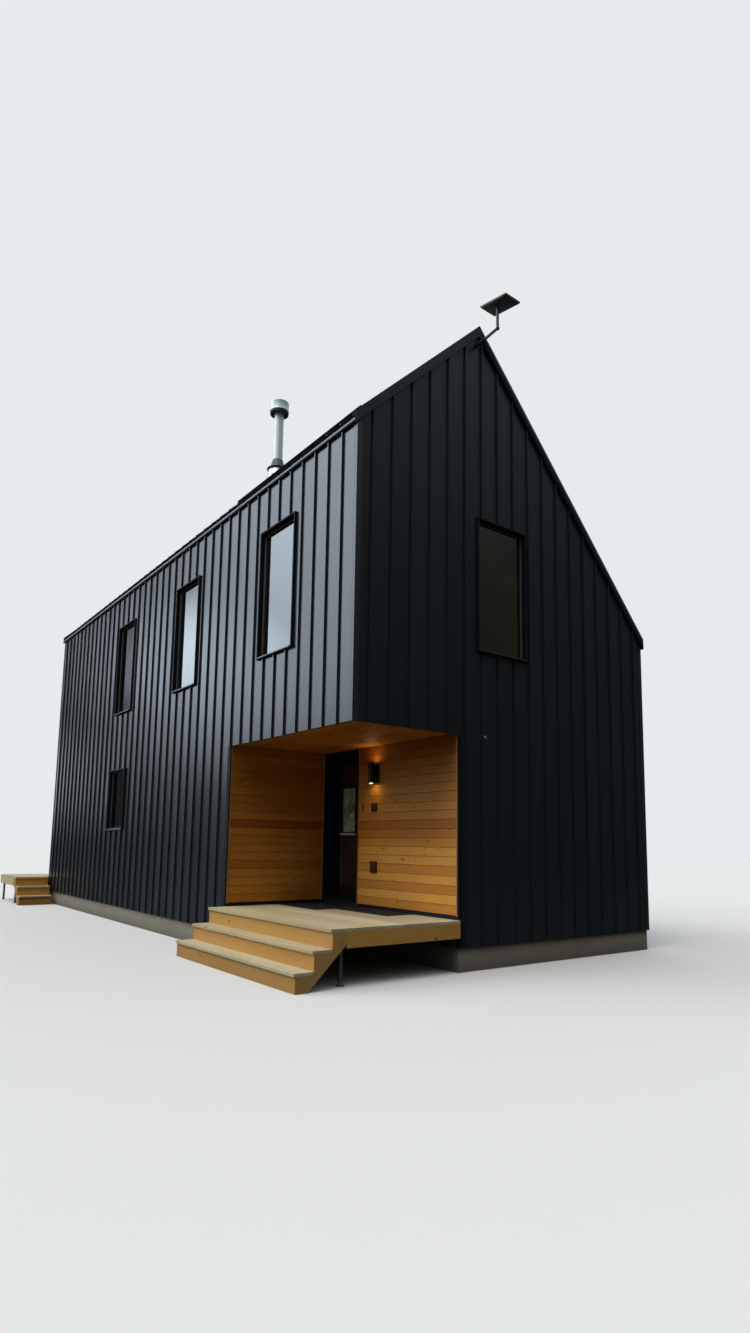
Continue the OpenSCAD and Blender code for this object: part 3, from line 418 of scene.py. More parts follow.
lite_edge = plain_finish("door_lite_edge", srgb(150, 150, 142), 0.35, 140.0, 0.0001, metallic=0.4)
shelf_grey = plain_finish("door_shelf_grey", srgb(196, 197, 196), 0.45, 120.0, 0.0002, 0.08)
# Pane colours are painted: dark for the shade of the rooms behind, olive on the gables as painted
# reflection
pane = glass_finish("window_pane", 2.15, srgb(30, 31, 26), srgb(52, 52, 44))
clear_pane = glass_finish("clear_window_pane", 1.28, srgb(16, 17, 16), srgb(34, 35, 30),
                          specular=0.1)
gable_pane = glass_finish("gable_window_pane", 1.9, srgb(44, 44, 16), srgb(96, 88, 40))
lite_glass = satin_glass_finish()
concrete = concrete_finish()
# Painted shade on the porch lining: the back boards and the soffit throughout, the side boards more
# towards the top
wall_boards = wood_finish("porch_boards_across", 0, *HONEY, 0.6, contrast=0.6, shades=0.36,
                          painted_shade=(0.7, 2.4, 0.67, 0.80))
side_boards = wood_finish("porch_boards_along", 1, *HONEY, 0.7, contrast=0.6, shades=0.62,
                          painted_shade=(1.25, 2.85, 0.0, 0.88))
soffit_boards = wood_finish("soffit_boards", 1, *HONEY, 0.7, contrast=0.6,
                            painted_shade=(0.0, 1.0, 0.65, 0.65))
casing_wood = wood_finish("casing_wood", 2, srgb(190, 142, 84), srgb(160, 112, 60), HONEY_KNOT, 0.2,
                          contrast=0.5)
deck_wood = wood_finish("deck_wood", 1, *PINE, 0.7, 0.65, 0.6, 0.6)
cross_wood = wood_finish("deck_wood_across", 0, *PINE, 0.7, 0.65, 0.6, 0.6)
string_wood = wood_finish("stringer_wood", 0, srgb(207, 164, 104), srgb(176, 130, 72), PINE_KNOT, 0.7,
                          0.65, 0.5)
riser_wood = wood_finish("riser_wood", 1, srgb(204, 154, 84), srgb(180, 124, 60), PINE_KNOT, 0.8,
                         0.6, 0.4, 0.3)
riser_cross = wood_finish("riser_wood_across", 0, srgb(219, 163, 84), srgb(196, 134, 60), PINE_KNOT,
                          0.8, 0.6, 0.4, 0.3)
jamb_wood = wood_finish("window_jamb_wood", 2, srgb(206, 156, 92), srgb(170, 112, 56), HONEY_KNOT, 0.4)
floor_wood = wood_finish("inside_floor", 1, srgb(150, 112, 70), srgb(110, 74, 42), HONEY_KNOT, 0.5)
# The inside plaster is darkened: painted shade of the unlit rooms
plaster = plain_finish("inside_plaster", srgb(104, 96, 84), 0.9, 30.0, 0.0006, 0.06)
membrane = plain_finish("wall_membrane", srgb(20, 20, 21), 0.7, 80.0, 0.0006)
steel = bare_metal("stainless_steel", srgb(240, 246, 244), 0.42, (1, 1, 0.03), 0.12, 0.4, 0.08)
aluminium = bare_metal("flashing_aluminium", srgb(206, 209, 211), 0.34)
# Dark grey metal for the cap's lower band, inner rings and straps
cap_dark_metal = plain_finish("cap_inside", srgb(58, 58, 60), 0.5, 90.0, 0.0004, metallic=0.5)
boot_rubber = plain_finish("collar_grey", srgb(92, 96, 101), 0.50, 60.0, 0.0008)
zinc = bare_metal("galvanised_steel", srgb(168, 172, 175), 0.48, (1, 1, 1), 0.2, soil=0.4)
dark_tube = plain_finish("mast_tube", srgb(74, 76, 78), 0.4, 120.0, 0.0003, metallic=0.6)
panel_shell = plain_finish("antenna_shell", srgb(168, 163, 156), 0.5, 200.0, 0.0002, 0.05)
panel_under = plain_finish("antenna_back", srgb(104, 98, 90), 0.55, 200.0, 0.0002, 0.08)
mat_rubber = mat_finish()
screw_metal = bare_metal("screw_metal", srgb(168, 158, 138), 0.4)
dark_screw = plain_finish("dark_screw", srgb(30, 31, 33), 0.35, 300.0, 0.0002, metallic=0.7)
lamp_lens = lens_finish()


# Shapes
def place_piece(mesh, name, finish, body="root", slot=None, stands_for=()):
    """The finished mesh as a piece of the object, riding on its body."""
    piece = bpy.data.objects.new(name, mesh)
    bpy.context.scene.collection.objects.link(piece)
    if finish:
        mesh.materials.clear()
        mesh.materials.append(finish)
    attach(piece, body)
    if stands_for:
        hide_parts(*stands_for)
    return piece


def ease(bm, edge, steps):
    """Rounds the sharp edges of a part."""
    sharp = [e for e in bm.edges if e.is_manifold and e.calc_face_angle() > math.radians(30)]
    if edge:
        bmesh.ops.bevel(bm, geom=sharp, offset=edge, segments=steps, profile=0.5, affect="EDGES",
                        clamp_overlap=True)


def box_part(low, high, edge=0.002, steps=1, turn=None):
    """A box with eased edges, from two corners in house metres, or turned by a matrix."""
    bm = bmesh.new()
    a, b = (Vector(low), Vector(high)) if turn else (at(*low), at(*high))
    bmesh.ops.create_cube(bm, size=1.0)
    bmesh.ops.scale(bm, vec=b - a, verts=bm.verts)
    bmesh.ops.translate(bm, vec=(a + b) / 2, verts=bm.verts)
    ease(bm, edge, steps)
    if turn:
        bmesh.ops.transform(bm, matrix=turn, verts=bm.verts)
    return bm


def facing(place, axis=(0, 0, 1)):
    """The matrix that sets a part's own Z along an axis at a point of the house."""
    turn = Vector((0, 0, 1)).rotation_difference(Vector(axis)).to_matrix().to_4x4()
    return Matrix.Translation(at(*place)) @ turn


def turned_part(profile, matrix, steps=32):
    """A closed outline of (radius, height) turned round the part's own Z axis."""
    bm = bmesh.new()
    rings = []
    for radius, height in profile:
        if radius < 1e-6:
            rings.append([bm.verts.new(matrix @ Vector((0, 0, height)))])
        else:
            rings.append([bm.verts.new(matrix @ Vector((
                radius * math.cos(2 * math.pi * i / steps),
                radius * math.sin(2 * math.pi * i / steps), height))) for i in range(steps)])
    pairs = list(zip(rings, rings[1:]))
    if profile[0][0] > 1e-6:
        pairs.append((rings[-1], rings[0]))
    for low, high in pairs:
        for i in range(steps):
            j = (i + 1) % steps
            if len(low) == 1 and len(high) == 1:
                continue
            if len(low) == 1:
                bm.faces.new((low[0], high[j], high[i]))
            elif len(high) == 1:
                bm.faces.new((low[i], low[j], high[0]))
            else:
                bm.faces.new((low[i], low[j], high[j], high[i]))
    return bm


def bolt_head(radius, height, matrix, steps=6, rim=0.002):
    """The head of a bolt, screw or button; its rim is eased over the top 2 mm."""
    return turned_part([(0, 0), (radius, 0), (radius, height - 0.002), (radius - rim, height),
                        (0, height)], matrix, steps)


def carried_part(outline, axis, start, end, edge=0.0):
    """A closed outline in the two other axes, carried along one axis of the house."""
    def point(p, along):
        values = list(p)
        values.insert(axis, along)
        return at(*values)
    bm = bmesh.new()
    ends = [[bm.verts.new(point(p, d)) for p in outline] for d in (start, end)]
    for i in range(len(outline)):
        j = (i + 1) % len(outline)
        bm.faces.new((ends[0][i], ends[0][j], ends[1][j], ends[1][i]))
    bm.faces.new(ends[0])
    bm.faces.new(list(reversed(ends[1])))
    ease(bm, edge, 1)
    return bm


def mitred_part(point, w, h, outline):
    """A closed outline of (inset, depth) run round a w by h opening, mitred at its corners."""
    bm = bmesh.new()
    loops = [[bm.verts.new(point(sx * (w / 2 - inset), depth, h - inset if top else inset))
              for inset, depth in outline] for sx, top in ((-1, 0), (1, 0), (1, 1), (-1, 1))]
    for k in range(4):
        a, b = loops[k], loops[(k + 1) % 4]
        for i in range(len(outline)):
            j = (i + 1) % len(outline)
            bm.faces.new((a[i], a[j], b[j], b[i]))
    return bm


SHADE_TOP = 0.86


def joined_piece(name, parts, finish, smooth=False, seed=1, **how):
    """Separate closed parts as one piece; the attribute "plank" gives each its own shade."""
    whole, pick, shades = bmesh.new(), random.Random(seed), []
    for bm in parts:
        bmesh.ops.recalc_face_normals(bm, faces=bm.faces)
        part = bpy.data.meshes.new("part")
        bm.to_mesh(part)
        bm.free()
        whole.from_mesh(part)
        shades += [pick.uniform(0.0, SHADE_TOP)] * len(part.vertices)
        bpy.data.meshes.remove(part)
    mesh = bpy.data.meshes.new(name)
    whole.to_mesh(mesh)
    whole.free()
    mesh.attributes.new("plank", "FLOAT", "POINT").data.foreach_set("value", shades)
    if smooth:
        mesh.shade_smooth()
        mesh.set_sharp_from_angle(angle=math.radians(35))
    return place_piece(mesh, name, finish, **how)


def box_piece(name, boxes, finish, edge=0.002, steps=1, **how):
    """Boxes, given by their two corners, as one piece."""
    return joined_piece(name, [box_part(low, high, edge, steps) for low, high in boxes], finish, **how)


def unit_mesh(bm):
    """A part as the mesh that a row repeats."""
    bmesh.ops.recalc_face_normals(bm, faces=bm.faces)
    mesh = bpy.data.meshes.new("unit")
    bm.to_mesh(mesh)
    bm.free()
    return mesh


# Geometry Nodes: one unit set out in rows, each copy with its own shade
def rows_tree():
    """The node tree: a line of units, carried on in rows, each a little out of place."""
    group = bpy.data.node_groups.new("rows_of_units", "GeometryNodeTree")
    for name, kind in (("Unit", "Geometry"), ("Count", "Int"), ("Step", "Vector"), ("Rows", "Int"),
                       ("Row Step", "Vector"), ("Unevenness", "Vector"), ("Deep Unit", "Int"),
                       ("Seed", "Int"), ("Finish", "Material")):
        group.interface.new_socket(name, in_out="INPUT", socket_type="NodeSocket" + kind)
    group.interface.new_socket("Units", in_out="OUTPUT", socket_type="NodeSocketGeometry")
    t = Tree(group)
    given = t.node("NodeGroupInput").outputs
    line, rows = (t.out("GeometryNodeMeshLine", {"Count": given[count], "Offset": given[step]})
                  for count, step in (("Count", "Step"), ("Rows", "Row Step")))
    grid = t.out("GeometryNodeInstanceOnPoints", {"Points": rows, "Instance": line})
    spots = t.out("GeometryNodeRealizeInstances", {0: grid})
    minus = t.out("ShaderNodeVectorMath", {0: given["Unevenness"], "Scale": -1.0}, operation="SCALE")
    shift = t.out("FunctionNodeRandomValue", {0: minus, 1: given["Unevenness"], "Seed": given["Seed"]},
                  data_type="FLOAT_VECTOR")
    moved = t.out("GeometryNodeSetPosition", {"Geometry": spots, "Offset": shift})
    units = t.out("GeometryNodeInstanceOnPoints", {"Points": moved, "Instance": given["Unit"]})
    shade = t.out("FunctionNodeRandomValue", {2: 0.0, 3: SHADE_TOP, "Seed": given["Seed"]}, 1,
                  data_type="FLOAT")
    deep = t.out("FunctionNodeCompare", {2: t.out("GeometryNodeInputIndex"), 3: given["Deep Unit"]},
                 data_type="INT", operation="EQUAL")
    pick = t.out("GeometryNodeSwitch", {0: deep, 1: shade, 2: 2.0}, input_type="FLOAT")
    stored = t.node("GeometryNodeStoreNamedAttribute", {"Geometry": units, "Name": "plank"},
                    data_type="FLOAT", domain="INSTANCE")
    t.put(pick, next(s for s in stored.inputs if s.name == "Value" and s.enabled))
    real = t.out("GeometryNodeRealizeInstances", {0: stored.outputs[0]})
    done = t.out("GeometryNodeSetMaterial", {"Geometry": real, "Material": given["Finish"]})
    t.node("NodeGroupOutput", {0: done})
    return group


rows_of_units = rows_tree()


def repeated(name, unit, finish, count, step, rows=1, row_step=(0, 0, 0), uneven=(0, 0, 0), seed=1,
             deep_unit=-1, **how):
    """A unit mesh set out in rows by the node tree, as one plain mesh and one piece."""
    carrier = bpy.data.objects.new("unit_" + name, unit)
    bpy.context.scene.collection.objects.link(carrier)
    modifier = carrier.modifiers.new("rows", "NODES")
    modifier.node_group = rows_of_units
    ids = {s.name: s.identifier for s in rows_of_units.interface.items_tree if s.in_out == "INPUT"}
    for key, value in (("Count", count), ("Step", step), ("Rows", rows), ("Row Step", row_step),
                       ("Unevenness", uneven), ("Deep Unit", deep_unit), ("Seed", seed),
                       ("Finish", finish)):
        modifier[ids[key]] = value
    graph = bpy.context.evaluated_depsgraph_get()
    mesh = bpy.data.meshes.new_from_object(carrier.evaluated_get(graph))
    bpy.data.objects.remove(carrier)
    return place_piece(mesh, name, None, **how)


def screw_unit(place, axis=(0, 0, 1), radius=0.0045, height=0.0012, turn=None):
    """A low screw head with a recess, its flat side against what it holds."""
    matrix = facing(place, axis)
    if turn:
        matrix = turn @ Matrix.Translation(-at(0, 0, 0)) @ matrix
    return unit_mesh(turned_part([
        (0, -0.002), (radius, -0.002), (radius, height * 0.4), (radius * 0.75, height),
        (radius * 0.4, height), (radius * 0.3, height * 0.2), (0, height * 0.2)], matrix, 8))


# Porch lining: boards across the back and along the side, soffit boards along the depth
BOARD_LOW, BOARD_GAP, LINING_T, rows_up, soffit_n = 0.677, 0.0028, 0.0185, 19, 14
rise = (PORCH_TOP - BOARD_LOW) / rows_up
board_top = BOARD_LOW + rise - BOARD_GAP
soffit_step = (PORCH_W - SKIN) / soffit_n
for name, low, high, finish, uneven, seed, stands_for in (
        ("porch_back_boards", (SKIN, PORCH_D, BOARD_LOW),
         (PORCH_W - 0.001, PORCH_D + LINING_T, board_top), wall_boards, (0, 0.0006, 0), 7, []),
        ("porch_side_boards", (PORCH_W, SKIN, BOARD_LOW),
         (PORCH_W + LINING_T, DOOR_FRAME_Y - 0.002, board_top), side_boards, (0.0006, 0, 0), 4,
         ["porch_wall_boards"])):
    repeated(name, unit_mesh(box_part(low, high, 0.0042)), finish, rows_up, (0, 0, rise), uneven=uneven,
             seed=seed, deep_unit=9, slot="porch_wood", stands_for=stands_for)
repeated("porch_soffit_boards", unit_mesh(box_part(
    (SKIN, SKIN, PORCH_TOP + 0.0005),
    (SKIN + soffit_step - 0.0035, PORCH_D - 0.001, PORCH_TOP + 0.0005 + LINING_T), 0.0028)),
    soffit_boards, soffit_n, (soffit_step, 0, 0), uneven=(0, 0, 0.0004), seed=11, slot="porch_wood",
    stands_for=["porch_ceiling"])
strip, proud, strip_low = 0.018, 0.007, BOARD_LOW - 0.012
box_piece("porch_casings", [((x0, y0, strip_low), (x1, y1, PORCH_TOP)) for x0, y0, x1, y1 in (
    (PORCH_W - proud, SKIN, PORCH_W, SKIN + strip),
    (PORCH_W - proud, DOOR_FRAME_Y - strip, PORCH_W, DOOR_FRAME_Y - 0.001),
    (SKIN, PORCH_D - proud, SKIN + strip, PORCH_D),
    (PORCH_W - strip - proud, PORCH_D - proud, PORCH_W - proud, PORCH_D))],
    casing_wood, 0.0015, slot="porch_wood")
box_piece("porch_base_flashing", [
    ((PORCH_W + 0.008, SKIN, DECK_TOP), (PORCH_W + 0.019, DOOR_FRAME_Y - 0.001, BOARD_LOW)),
    ((SKIN, PORCH_D + 0.008, DECK_TOP), (PORCH_W, PORCH_D + 0.019, BOARD_LOW)),
], frame_paint, 0.001, slot="black_trim")

# Decks: planks with eased edges and the boards under them
gap, JOIST, PLANK_EDGE, rim_top = 0.0032, 0.038, 0.0035, DECK_TOP - BOARD_T
rim_foot = rim_top - 0.175
deck_x0, deck_x1 = -0.245, PORCH_W - 0.005
deck_y0, deck_y1, deck_back = -0.042, PORCH_D - 0.008, PORCH_D + SKIN
rear_depth, rear_x0, rear_x1, rear_y = 1.5, -0.780, 2.220, HOUSE_L + SEAM_H
rear_y1, rear_stair_x = rear_y + rear_depth, -0.060
planks, rear_planks = 13, 10
plank_step = (deck_x1 - deck_x0 + gap) / planks
rear_step = (rear_depth + gap) / rear_planks
repeated("deck_planks", unit_mesh(box_part(
    (deck_x0, deck_y0, rim_top), (deck_x0 + plank_step - gap, deck_y1, DECK_TOP), PLANK_EDGE, 2)),
    deck_wood, planks, (plank_step, 0, 0), uneven=(0, 0, 0.0005), seed=3, slot="deck_wood",
    stands_for=["deck_boards"])
repeated("rear_deck_planks", unit_mesh(box_part(
    (rear_x0, rear_y, rim_top), (rear_x1, rear_y + rear_step - gap, DECK_TOP), PLANK_EDGE, 2)),
    cross_wood, rear_planks, (0, rear_step, 0), uneven=(0, 0, 0.0005), seed=5, slot="deck_wood")
box_piece("rear_stair_head", [
    ((rear_x0, rear_y - back, rim_top), (rear_stair_x, rear_y - back + 0.118, DECK_TOP))
    for back in (0.245, 0.123)], cross_wood, PLANK_EDGE, 2, slot="deck_wood")
notch = 0.060
joists = [deck_x1 * i / 4 - JOIST / 2 for i in range(5)]
rear_joists = [rear_x0 + JOIST / 2] + [
    rear_stair_x - JOIST / 2 + (rear_x1 - rear_stair_x) * i / 4 for i in range(5)]
box_piece("deck_rims", [((x0, y0, rim_foot), (x1, y0 + JOIST, rim_top)) for x0, x1, y0 in (
    (-JOIST, deck_x1, deck_y0), (notch, deck_x1, deck_back - JOIST),
    (rear_x0, rear_x1, rear_y), (rear_x0, rear_x1, rear_y1 - JOIST))],
    riser_cross, 0.003, 2, seed=4, slot="deck_wood", stands_for=["deck_frame"])
box_piece("deck_joists", [
    ((x - JOIST / 2, y0 + JOIST + 0.001, rim_foot), (x + JOIST / 2, y1, rim_top)) for x, y0, y1 in
    [(x, deck_y0, deck_y1 if x < notch else deck_back - JOIST - 0.001) for x in joists]
    + [(x, rear_y, rear_y1 - JOIST - 0.001) for x in rear_joists]],
    deck_wood, 0.003, 2, seed=8, slot="deck_wood")

# Stairs: two planks to a tread, a riser under each nosing, and sawn stringers
rise_h, going, nosing, riser_t = DECK_TOP / 3, 0.225, 0.020, 0.025
riser_butt, string_foot, string_slope = 0.879, 0.128, math.radians(43.7)
tread = (going + nosing - gap) / 2
risers = [(deck_x0 + nosing - going * i, DECK_TOP - rise_h * i - BOARD_T,
           0.0 if i == 2 else DECK_TOP - rise_h * (i + 1) - BOARD_T) for i in range(3)]


def along_stair(low, high, rear):
    """A box written for the entry stair, or turned to the rear stair."""
    if not rear:
        return low, high
    return (rear_x0, rear_y + low[0], low[2]), (rear_stair_x, rear_y + high[0], high[2])


for rear in (False, True):
    if rear:
        name, wood, across_wood, side_wood = "rear_stair", cross_wood, riser_cross, riser_wood
        count, width, start, back_x, stands_for = 2, 0.720, rear_x0, 0.0, [[], [], []]
    else:
        name, wood, across_wood, side_wood = "stair", deck_wood, riser_wood, string_wood
        count, width, start, back_x = 4, deck_y1 - deck_y0, deck_y0, -JOIST
        stands_for = [["stair_treads"], ["stair_risers"], ["stair_stringers"]]
    treads, faces, strings = [], [], []
    for i in (1, 2):
        z = DECK_TOP - rise_h * i
        for x in (deck_x0 - going * i, deck_x0 - going * i + tread + gap):
            treads.append(along_stair((x, deck_y0, z - BOARD_T), (x + tread, deck_y1, z), rear))
    for x, z, low in risers:
        butted = low == 0.0 and not rear
        cuts = (deck_y0, riser_butt, deck_y1) if butted else (deck_y0, deck_y1)
        for y0, y1 in zip(cuts, cuts[1:]):
            faces.append(along_stair((x, y0 + 0.001, low + 0.001), (x + riser_t, y1 - 0.001, z), rear))
    foot_x = risers[-1][0] + riser_t + string_foot
    outline = [(back_x, rim_top)]
    for x, z, low in risers:
        outline += [(x + riser_t, z), (x + riser_t, low)]
    outline += [(foot_x, 0.0), (back_x, (back_x - foot_x) * math.tan(string_slope))]
    for b in range(count):
        y = start + (width - JOIST) * b / (count - 1)
        strings.append(carried_part([(x + (rear_y if rear else 0), z) for x, z in outline],
                                    0 if rear else 1, y, y + JOIST, 0.002))
    box_piece(name + "_planks", treads, wood, PLANK_EDGE, 2, seed=6, slot="deck_wood",
              stands_for=stands_for[0])
    box_piece(name + "_faces", faces, across_wood, 0.002, 1, seed=21, slot="deck_wood",
              stands_for=stands_for[1])
    joined_piece(name + "_strings", strings, side_wood, seed=12, slot="deck_wood",
                 stands_for=stands_for[2])

# Screws of the decks and the entry stair, in rows over the joists and stringers
deck_rows = planks, (plank_step, 0, 0), 5, (0, 0.72, 0), (0.003, 0.003, 0)
stair_rows = 2, (-going, 0, -rise_h), 4, (0, 1.012, 0), (0.003, 0.004, 0)
stair_x, stair_z = deck_x0 - going, DECK_TOP - rise_h
for name, place, spread, seed in (
        ("deck_screws_0", (deck_x0 + 0.03, 0.1, DECK_TOP), deck_rows, 2),
        ("deck_screws_1", (deck_x0 + 0.11, 0.1, DECK_TOP), deck_rows, 3),
        ("rear_deck_screws", (rear_x0 + 0.02, rear_y + 0.03, DECK_TOP),
         (rear_planks, (0, rear_step, 0), 6, (0.59, 0, 0), (0.003, 0.003, 0)), 2),
        ("stair_screws", (stair_x + 0.06, -0.022, stair_z), stair_rows, 1),
        ("stair_screws_back", (stair_x + 0.185, -0.022, stair_z), stair_rows, 3)):
    repeated(name, screw_unit(place), screw_metal, *spread, seed, slot="galvanised")

# Mats with raised borders
mat_border = [(0, 0), (0.004, 0.010), (0.009, 0.012), (0.016, 0.012), (0.021, 0.009), (0.021, 0)]
mat_parts = []
for x0, x1, y0, y1 in ((0.850, 1.600, 1.9885, 2.9885), (1.170, 1.600, 0.831, 1.971)):
    mat_parts += [
        box_part((x0 + 0.02, y0 + 0.02, DECK_TOP), (x1 - 0.02, y1 - 0.02, DECK_TOP + 0.010), 0.001),
        mitred_part(lambda a, d, h: at((x0 + x1) / 2 + a, y0 + h, DECK_TOP + d), x1 - x0, y1 - y0,
                    mat_border)]
joined_piece("door_mat", mat_parts, mat_rubber, slot="mat_rubber", stands_for=["door_mats"])

# Windows: the wall each one faces, its centre, sill, width and height
upper, lower = (4.024, 0.940, 1.838), (1.712, 0.910, 1.200)
windows = [("left", 1.822 + i * 3.036, *upper) for i in range(3)]
windows += [("left", 7.990, *lower), ("front", 2.425, *upper), ("back", 2.425, *upper),
            ("back", 4.200, *lower)]
windows += [("right", 2.400 + i * 3.950, *lower) for i in range(3)]


def on_wall(wall, along, depth, z):
    """A point given by its place along a wall and its depth behind the cladding."""
    return at(*{"left": (depth, along, z), "front": (along, depth, z),
                "right": (HOUSE_W - depth, along, z), "back": (along, HOUSE_L - depth, z)}[wall])


def window_rings(name, outline, finish, slot, stands_for=()):
    """One outline of (inset, depth) run round every window."""
    parts = [mitred_part(lambda a, d, h: on_wall(wall, centre + a, d, sill + h), w, height, outline)
             for wall, centre, sill, w, height in windows]
    return joined_piece(name, parts, finish, slot=slot, stands_for=stands_for)


window_rings("window_outer_frames", [
    (0, 0.130), (0, -0.034), (0.002, -0.036), (0.022, -0.036), (0.024, -0.034), (0.024, 0.024),
    (0.026, 0.027), (0.026, 0.130)], frame_paint, "black_trim", ["window_frames"])
window_rings("window_sashes", [
    (0.0265, 0.117), (0.0265, 0.023), (0.029, 0.020), (0.043, 0.020), (0.046, 0.023),
    (0.0575, 0.035), (0.0575, 0.117)], sash_paint, "black_trim")
window_rings("glazing_beads", [
    (0.0465, 0.0220), (0.0590, 0.0340), (0.0590, 0.0449), (0.0470, 0.0449)], bead_brown,
    "black_trim")
sill_nose = [(-0.056, 0.009), (-0.056, 0.021), (-0.054, 0.024), (-0.0385, 0.028), (-0.0385, 0.0315),
             (0.0195, 0.0440), (0.0195, 0.0280), (-0.0345, 0.0240), (-0.0345, 0.009)]
# The left wall's two nearest windows mirror the sky; the long walls' others show their depth
near_end = 6.0
near_panes, long_wall_panes, gable_panes, sills, dark_sills = [], [], [], [], []
for wall, centre, sill, w, h in windows:
    glass_edge, sill_half = 0.056, w / 2 - 0.0235
    ends = [on_wall(wall, centre + side * (w / 2 - glass_edge), depth, sill + z) - at(0, 0, 0)
            for side, depth, z in ((-1, 0.045, glass_edge), (1, 0.069, h - glass_edge))]
    gable = wall in ("front", "back")
    near = wall == "left" and centre < near_end
    (gable_panes if gable else near_panes if near else long_wall_panes).append(
        box_part(*(tuple(pick(a, b) for a, b in zip(*ends)) for pick in (min, max)), 0.0008))
    across, outward = {"left": (0, 1), "front": (0, 1), "right": (HOUSE_W, -1),
                       "back": (HOUSE_L, -1)}[wall]
    # The left wall's sills take the pale steel as painted reflection; the others keep the dark trim
    # steel
    (sills if wall == "left" else dark_sills).append(carried_part(
        [(across + outward * d, sill + z) for d, z in sill_nose], 0 if gable else 1,
        centre - sill_half, centre + sill_half))
joined_piece("window_panes_0", near_panes, pane, slot="window_glass", stands_for=["window_glass"])
joined_piece("window_panes_1", long_wall_panes, clear_pane, slot="window_glass")
joined_piece("window_panes_2", gable_panes, gable_pane, slot="window_glass")
window_rings("window_jamb_liners", [
    (0.001, 0.1305), (0.020, 0.1305), (0.020, 0.194), (0.001, 0.194)], jamb_wood, "porch_wood")
joined_piece("window_sills", sills, sill_painted_reflection, slot="black_trim")
joined_piece("window_sills_dark", dark_sills, trim_steel, slot="black_trim")

# Entry door: framed leaf, lite and lower panel with mouldings, shelf, hinges and levers
LEAF_X0, LEAF_X1 = 1.785, 1.830
LEAF_Y, LEAF_Z = (2.165, 2.975), (0.731, 2.811)
LITE_Y, LITE_Z = (2.415, 2.725), (1.700, 2.370)
FIELD_Y, FIELD_Z = (2.360, 2.780), (0.891, 1.631)
leaf = [((LEAF_X0, y0, z0), (LEAF_X1, y1, z1)) for y0, y1, z0, z1 in (
    (LEAF_Y[0], FIELD_Y[0], *LEAF_Z), (FIELD_Y[1], LEAF_Y[1], *LEAF_Z),
    (*FIELD_Y, LEAF_Z[0], FIELD_Z[0]), (*FIELD_Y, FIELD_Z[1], LITE_Z[0]),
    (*FIELD_Y, LITE_Z[1], LEAF_Z[1]), (FIELD_Y[0], LITE_Y[0], *LITE_Z),
    (LITE_Y[1], FIELD_Y[1], *LITE_Z))]
box_piece("entry_leaf", leaf, door_paint, 0.0012, body="door", slot="door_paint",
          stands_for=["entry_door"])


def leaf_moulding(y, z, outline, inside=False):
    """A moulding round an opening of the leaf, on its outer or inner face."""
    return mitred_part(
        lambda a, d, h: at(LEAF_X1 - d if inside else LEAF_X0 + d, sum(y) / 2 + a, z[0] + h),
        y[1] - y[0], z[1] - z[0], outline)


lite_moulding = [(-0.012, 0.0005), (-0.012, -0.004), (-0.009, -0.007), (-0.003, -0.008),
                 (0.003, -0.003), (0.005, 0.0115), (-0.0005, 0.0115)]
field_moulding = [(0.0005, 0.0092), (0.0005, 0.001), (0.005, -0.0015), (0.012, 0.000),
                  (0.018, 0.0045), (0.021, 0.0092)]
lite_bead = [(0.0032, -0.0045), (0.0075, 0.001), (0.0085, 0.0115), (0.0052, 0.0115)]
for name, outline, finish in (("door_mouldings", lite_moulding, door_paint),
                              ("door_lite_edges", lite_bead, lite_edge)):
    joined_piece(name, [leaf_moulding(LITE_Y, LITE_Z, outline, inside) for inside in (False, True)],
                 finish, body="door", slot="door_paint")
top_y, top_z = (FIELD_Y[0] + 0.015, FIELD_Y[1] - 0.015), (2.445, 2.745)
fields = [box_part((LEAF_X0 + 0.009, FIELD_Y[0] + 0.0004, FIELD_Z[0] + 0.0004),
                   (LEAF_X1, FIELD_Y[1] - 0.0004, FIELD_Z[1] - 0.0004), 0.001),
          box_part((LEAF_X0 + 0.004, FIELD_Y[0] + 0.045, FIELD_Z[0] + 0.045),
                   (LEAF_X0 + 0.012, FIELD_Y[1] - 0.045, FIELD_Z[1] - 0.045), 0.0045, 2),
          leaf_moulding(FIELD_Y, FIELD_Z, field_moulding),
          box_part((LEAF_X0 - 0.002, top_y[0], top_z[0]), (LEAF_X0 + 0.004, top_y[1], top_z[1]),
                   0.0018, 2)]
for z in (FIELD_Z, top_z):
    fields.append(box_part((LEAF_X1 - 0.004, FIELD_Y[0] + 0.03, z[0] + 0.03),
                           (LEAF_X1 + 0.003, FIELD_Y[1] - 0.03, z[1] - 0.03), 0.0028, 2))
joined_piece("door_panels", fields, panel_brown, body="door", slot="door_paint")
box_piece("door_shelf", [
    ((LEAF_X0 - 0.032, FIELD_Y[0], 1.672), (LEAF_X0, FIELD_Y[1], 1.686)),
    ((LEAF_X0 - 0.014, FIELD_Y[0] + 0.01, 1.658), (LEAF_X0, FIELD_Y[1] - 0.01, 1.673))],
    shelf_grey, 0.004, 3, body="door", slot="door_paint")
hinges = []
for z in (0.911, 1.771, 2.541):
    hinges.append(turned_part([(0.0053, 0.0303), (0.0082, 0.0303), (0.009, 0.0311), (0.009, 0.089),
                               (0.008, 0.090), (0.0053, 0.090)], facing((1.840, 2.978, z)), 24))
    hinges.append(box_part((LEAF_X1, 2.946, z + 0.0303), (LEAF_X1 + 0.0025, 2.978, z + 0.090), 0.0008))
    hinges += [turned_part([(0, 0), (0.0035, 0), (0.0028, 0.0012), (0, 0.0012)],
                           facing((LEAF_X1 + 0.0025, 2.957, z + s), (1, 0, 0)), 12)
               for s in (0.042, 0.078)]
joined_piece("door_hinge_leaves", hinges, dark_screw, True, body="door", slot="black_fittings")
levers = []
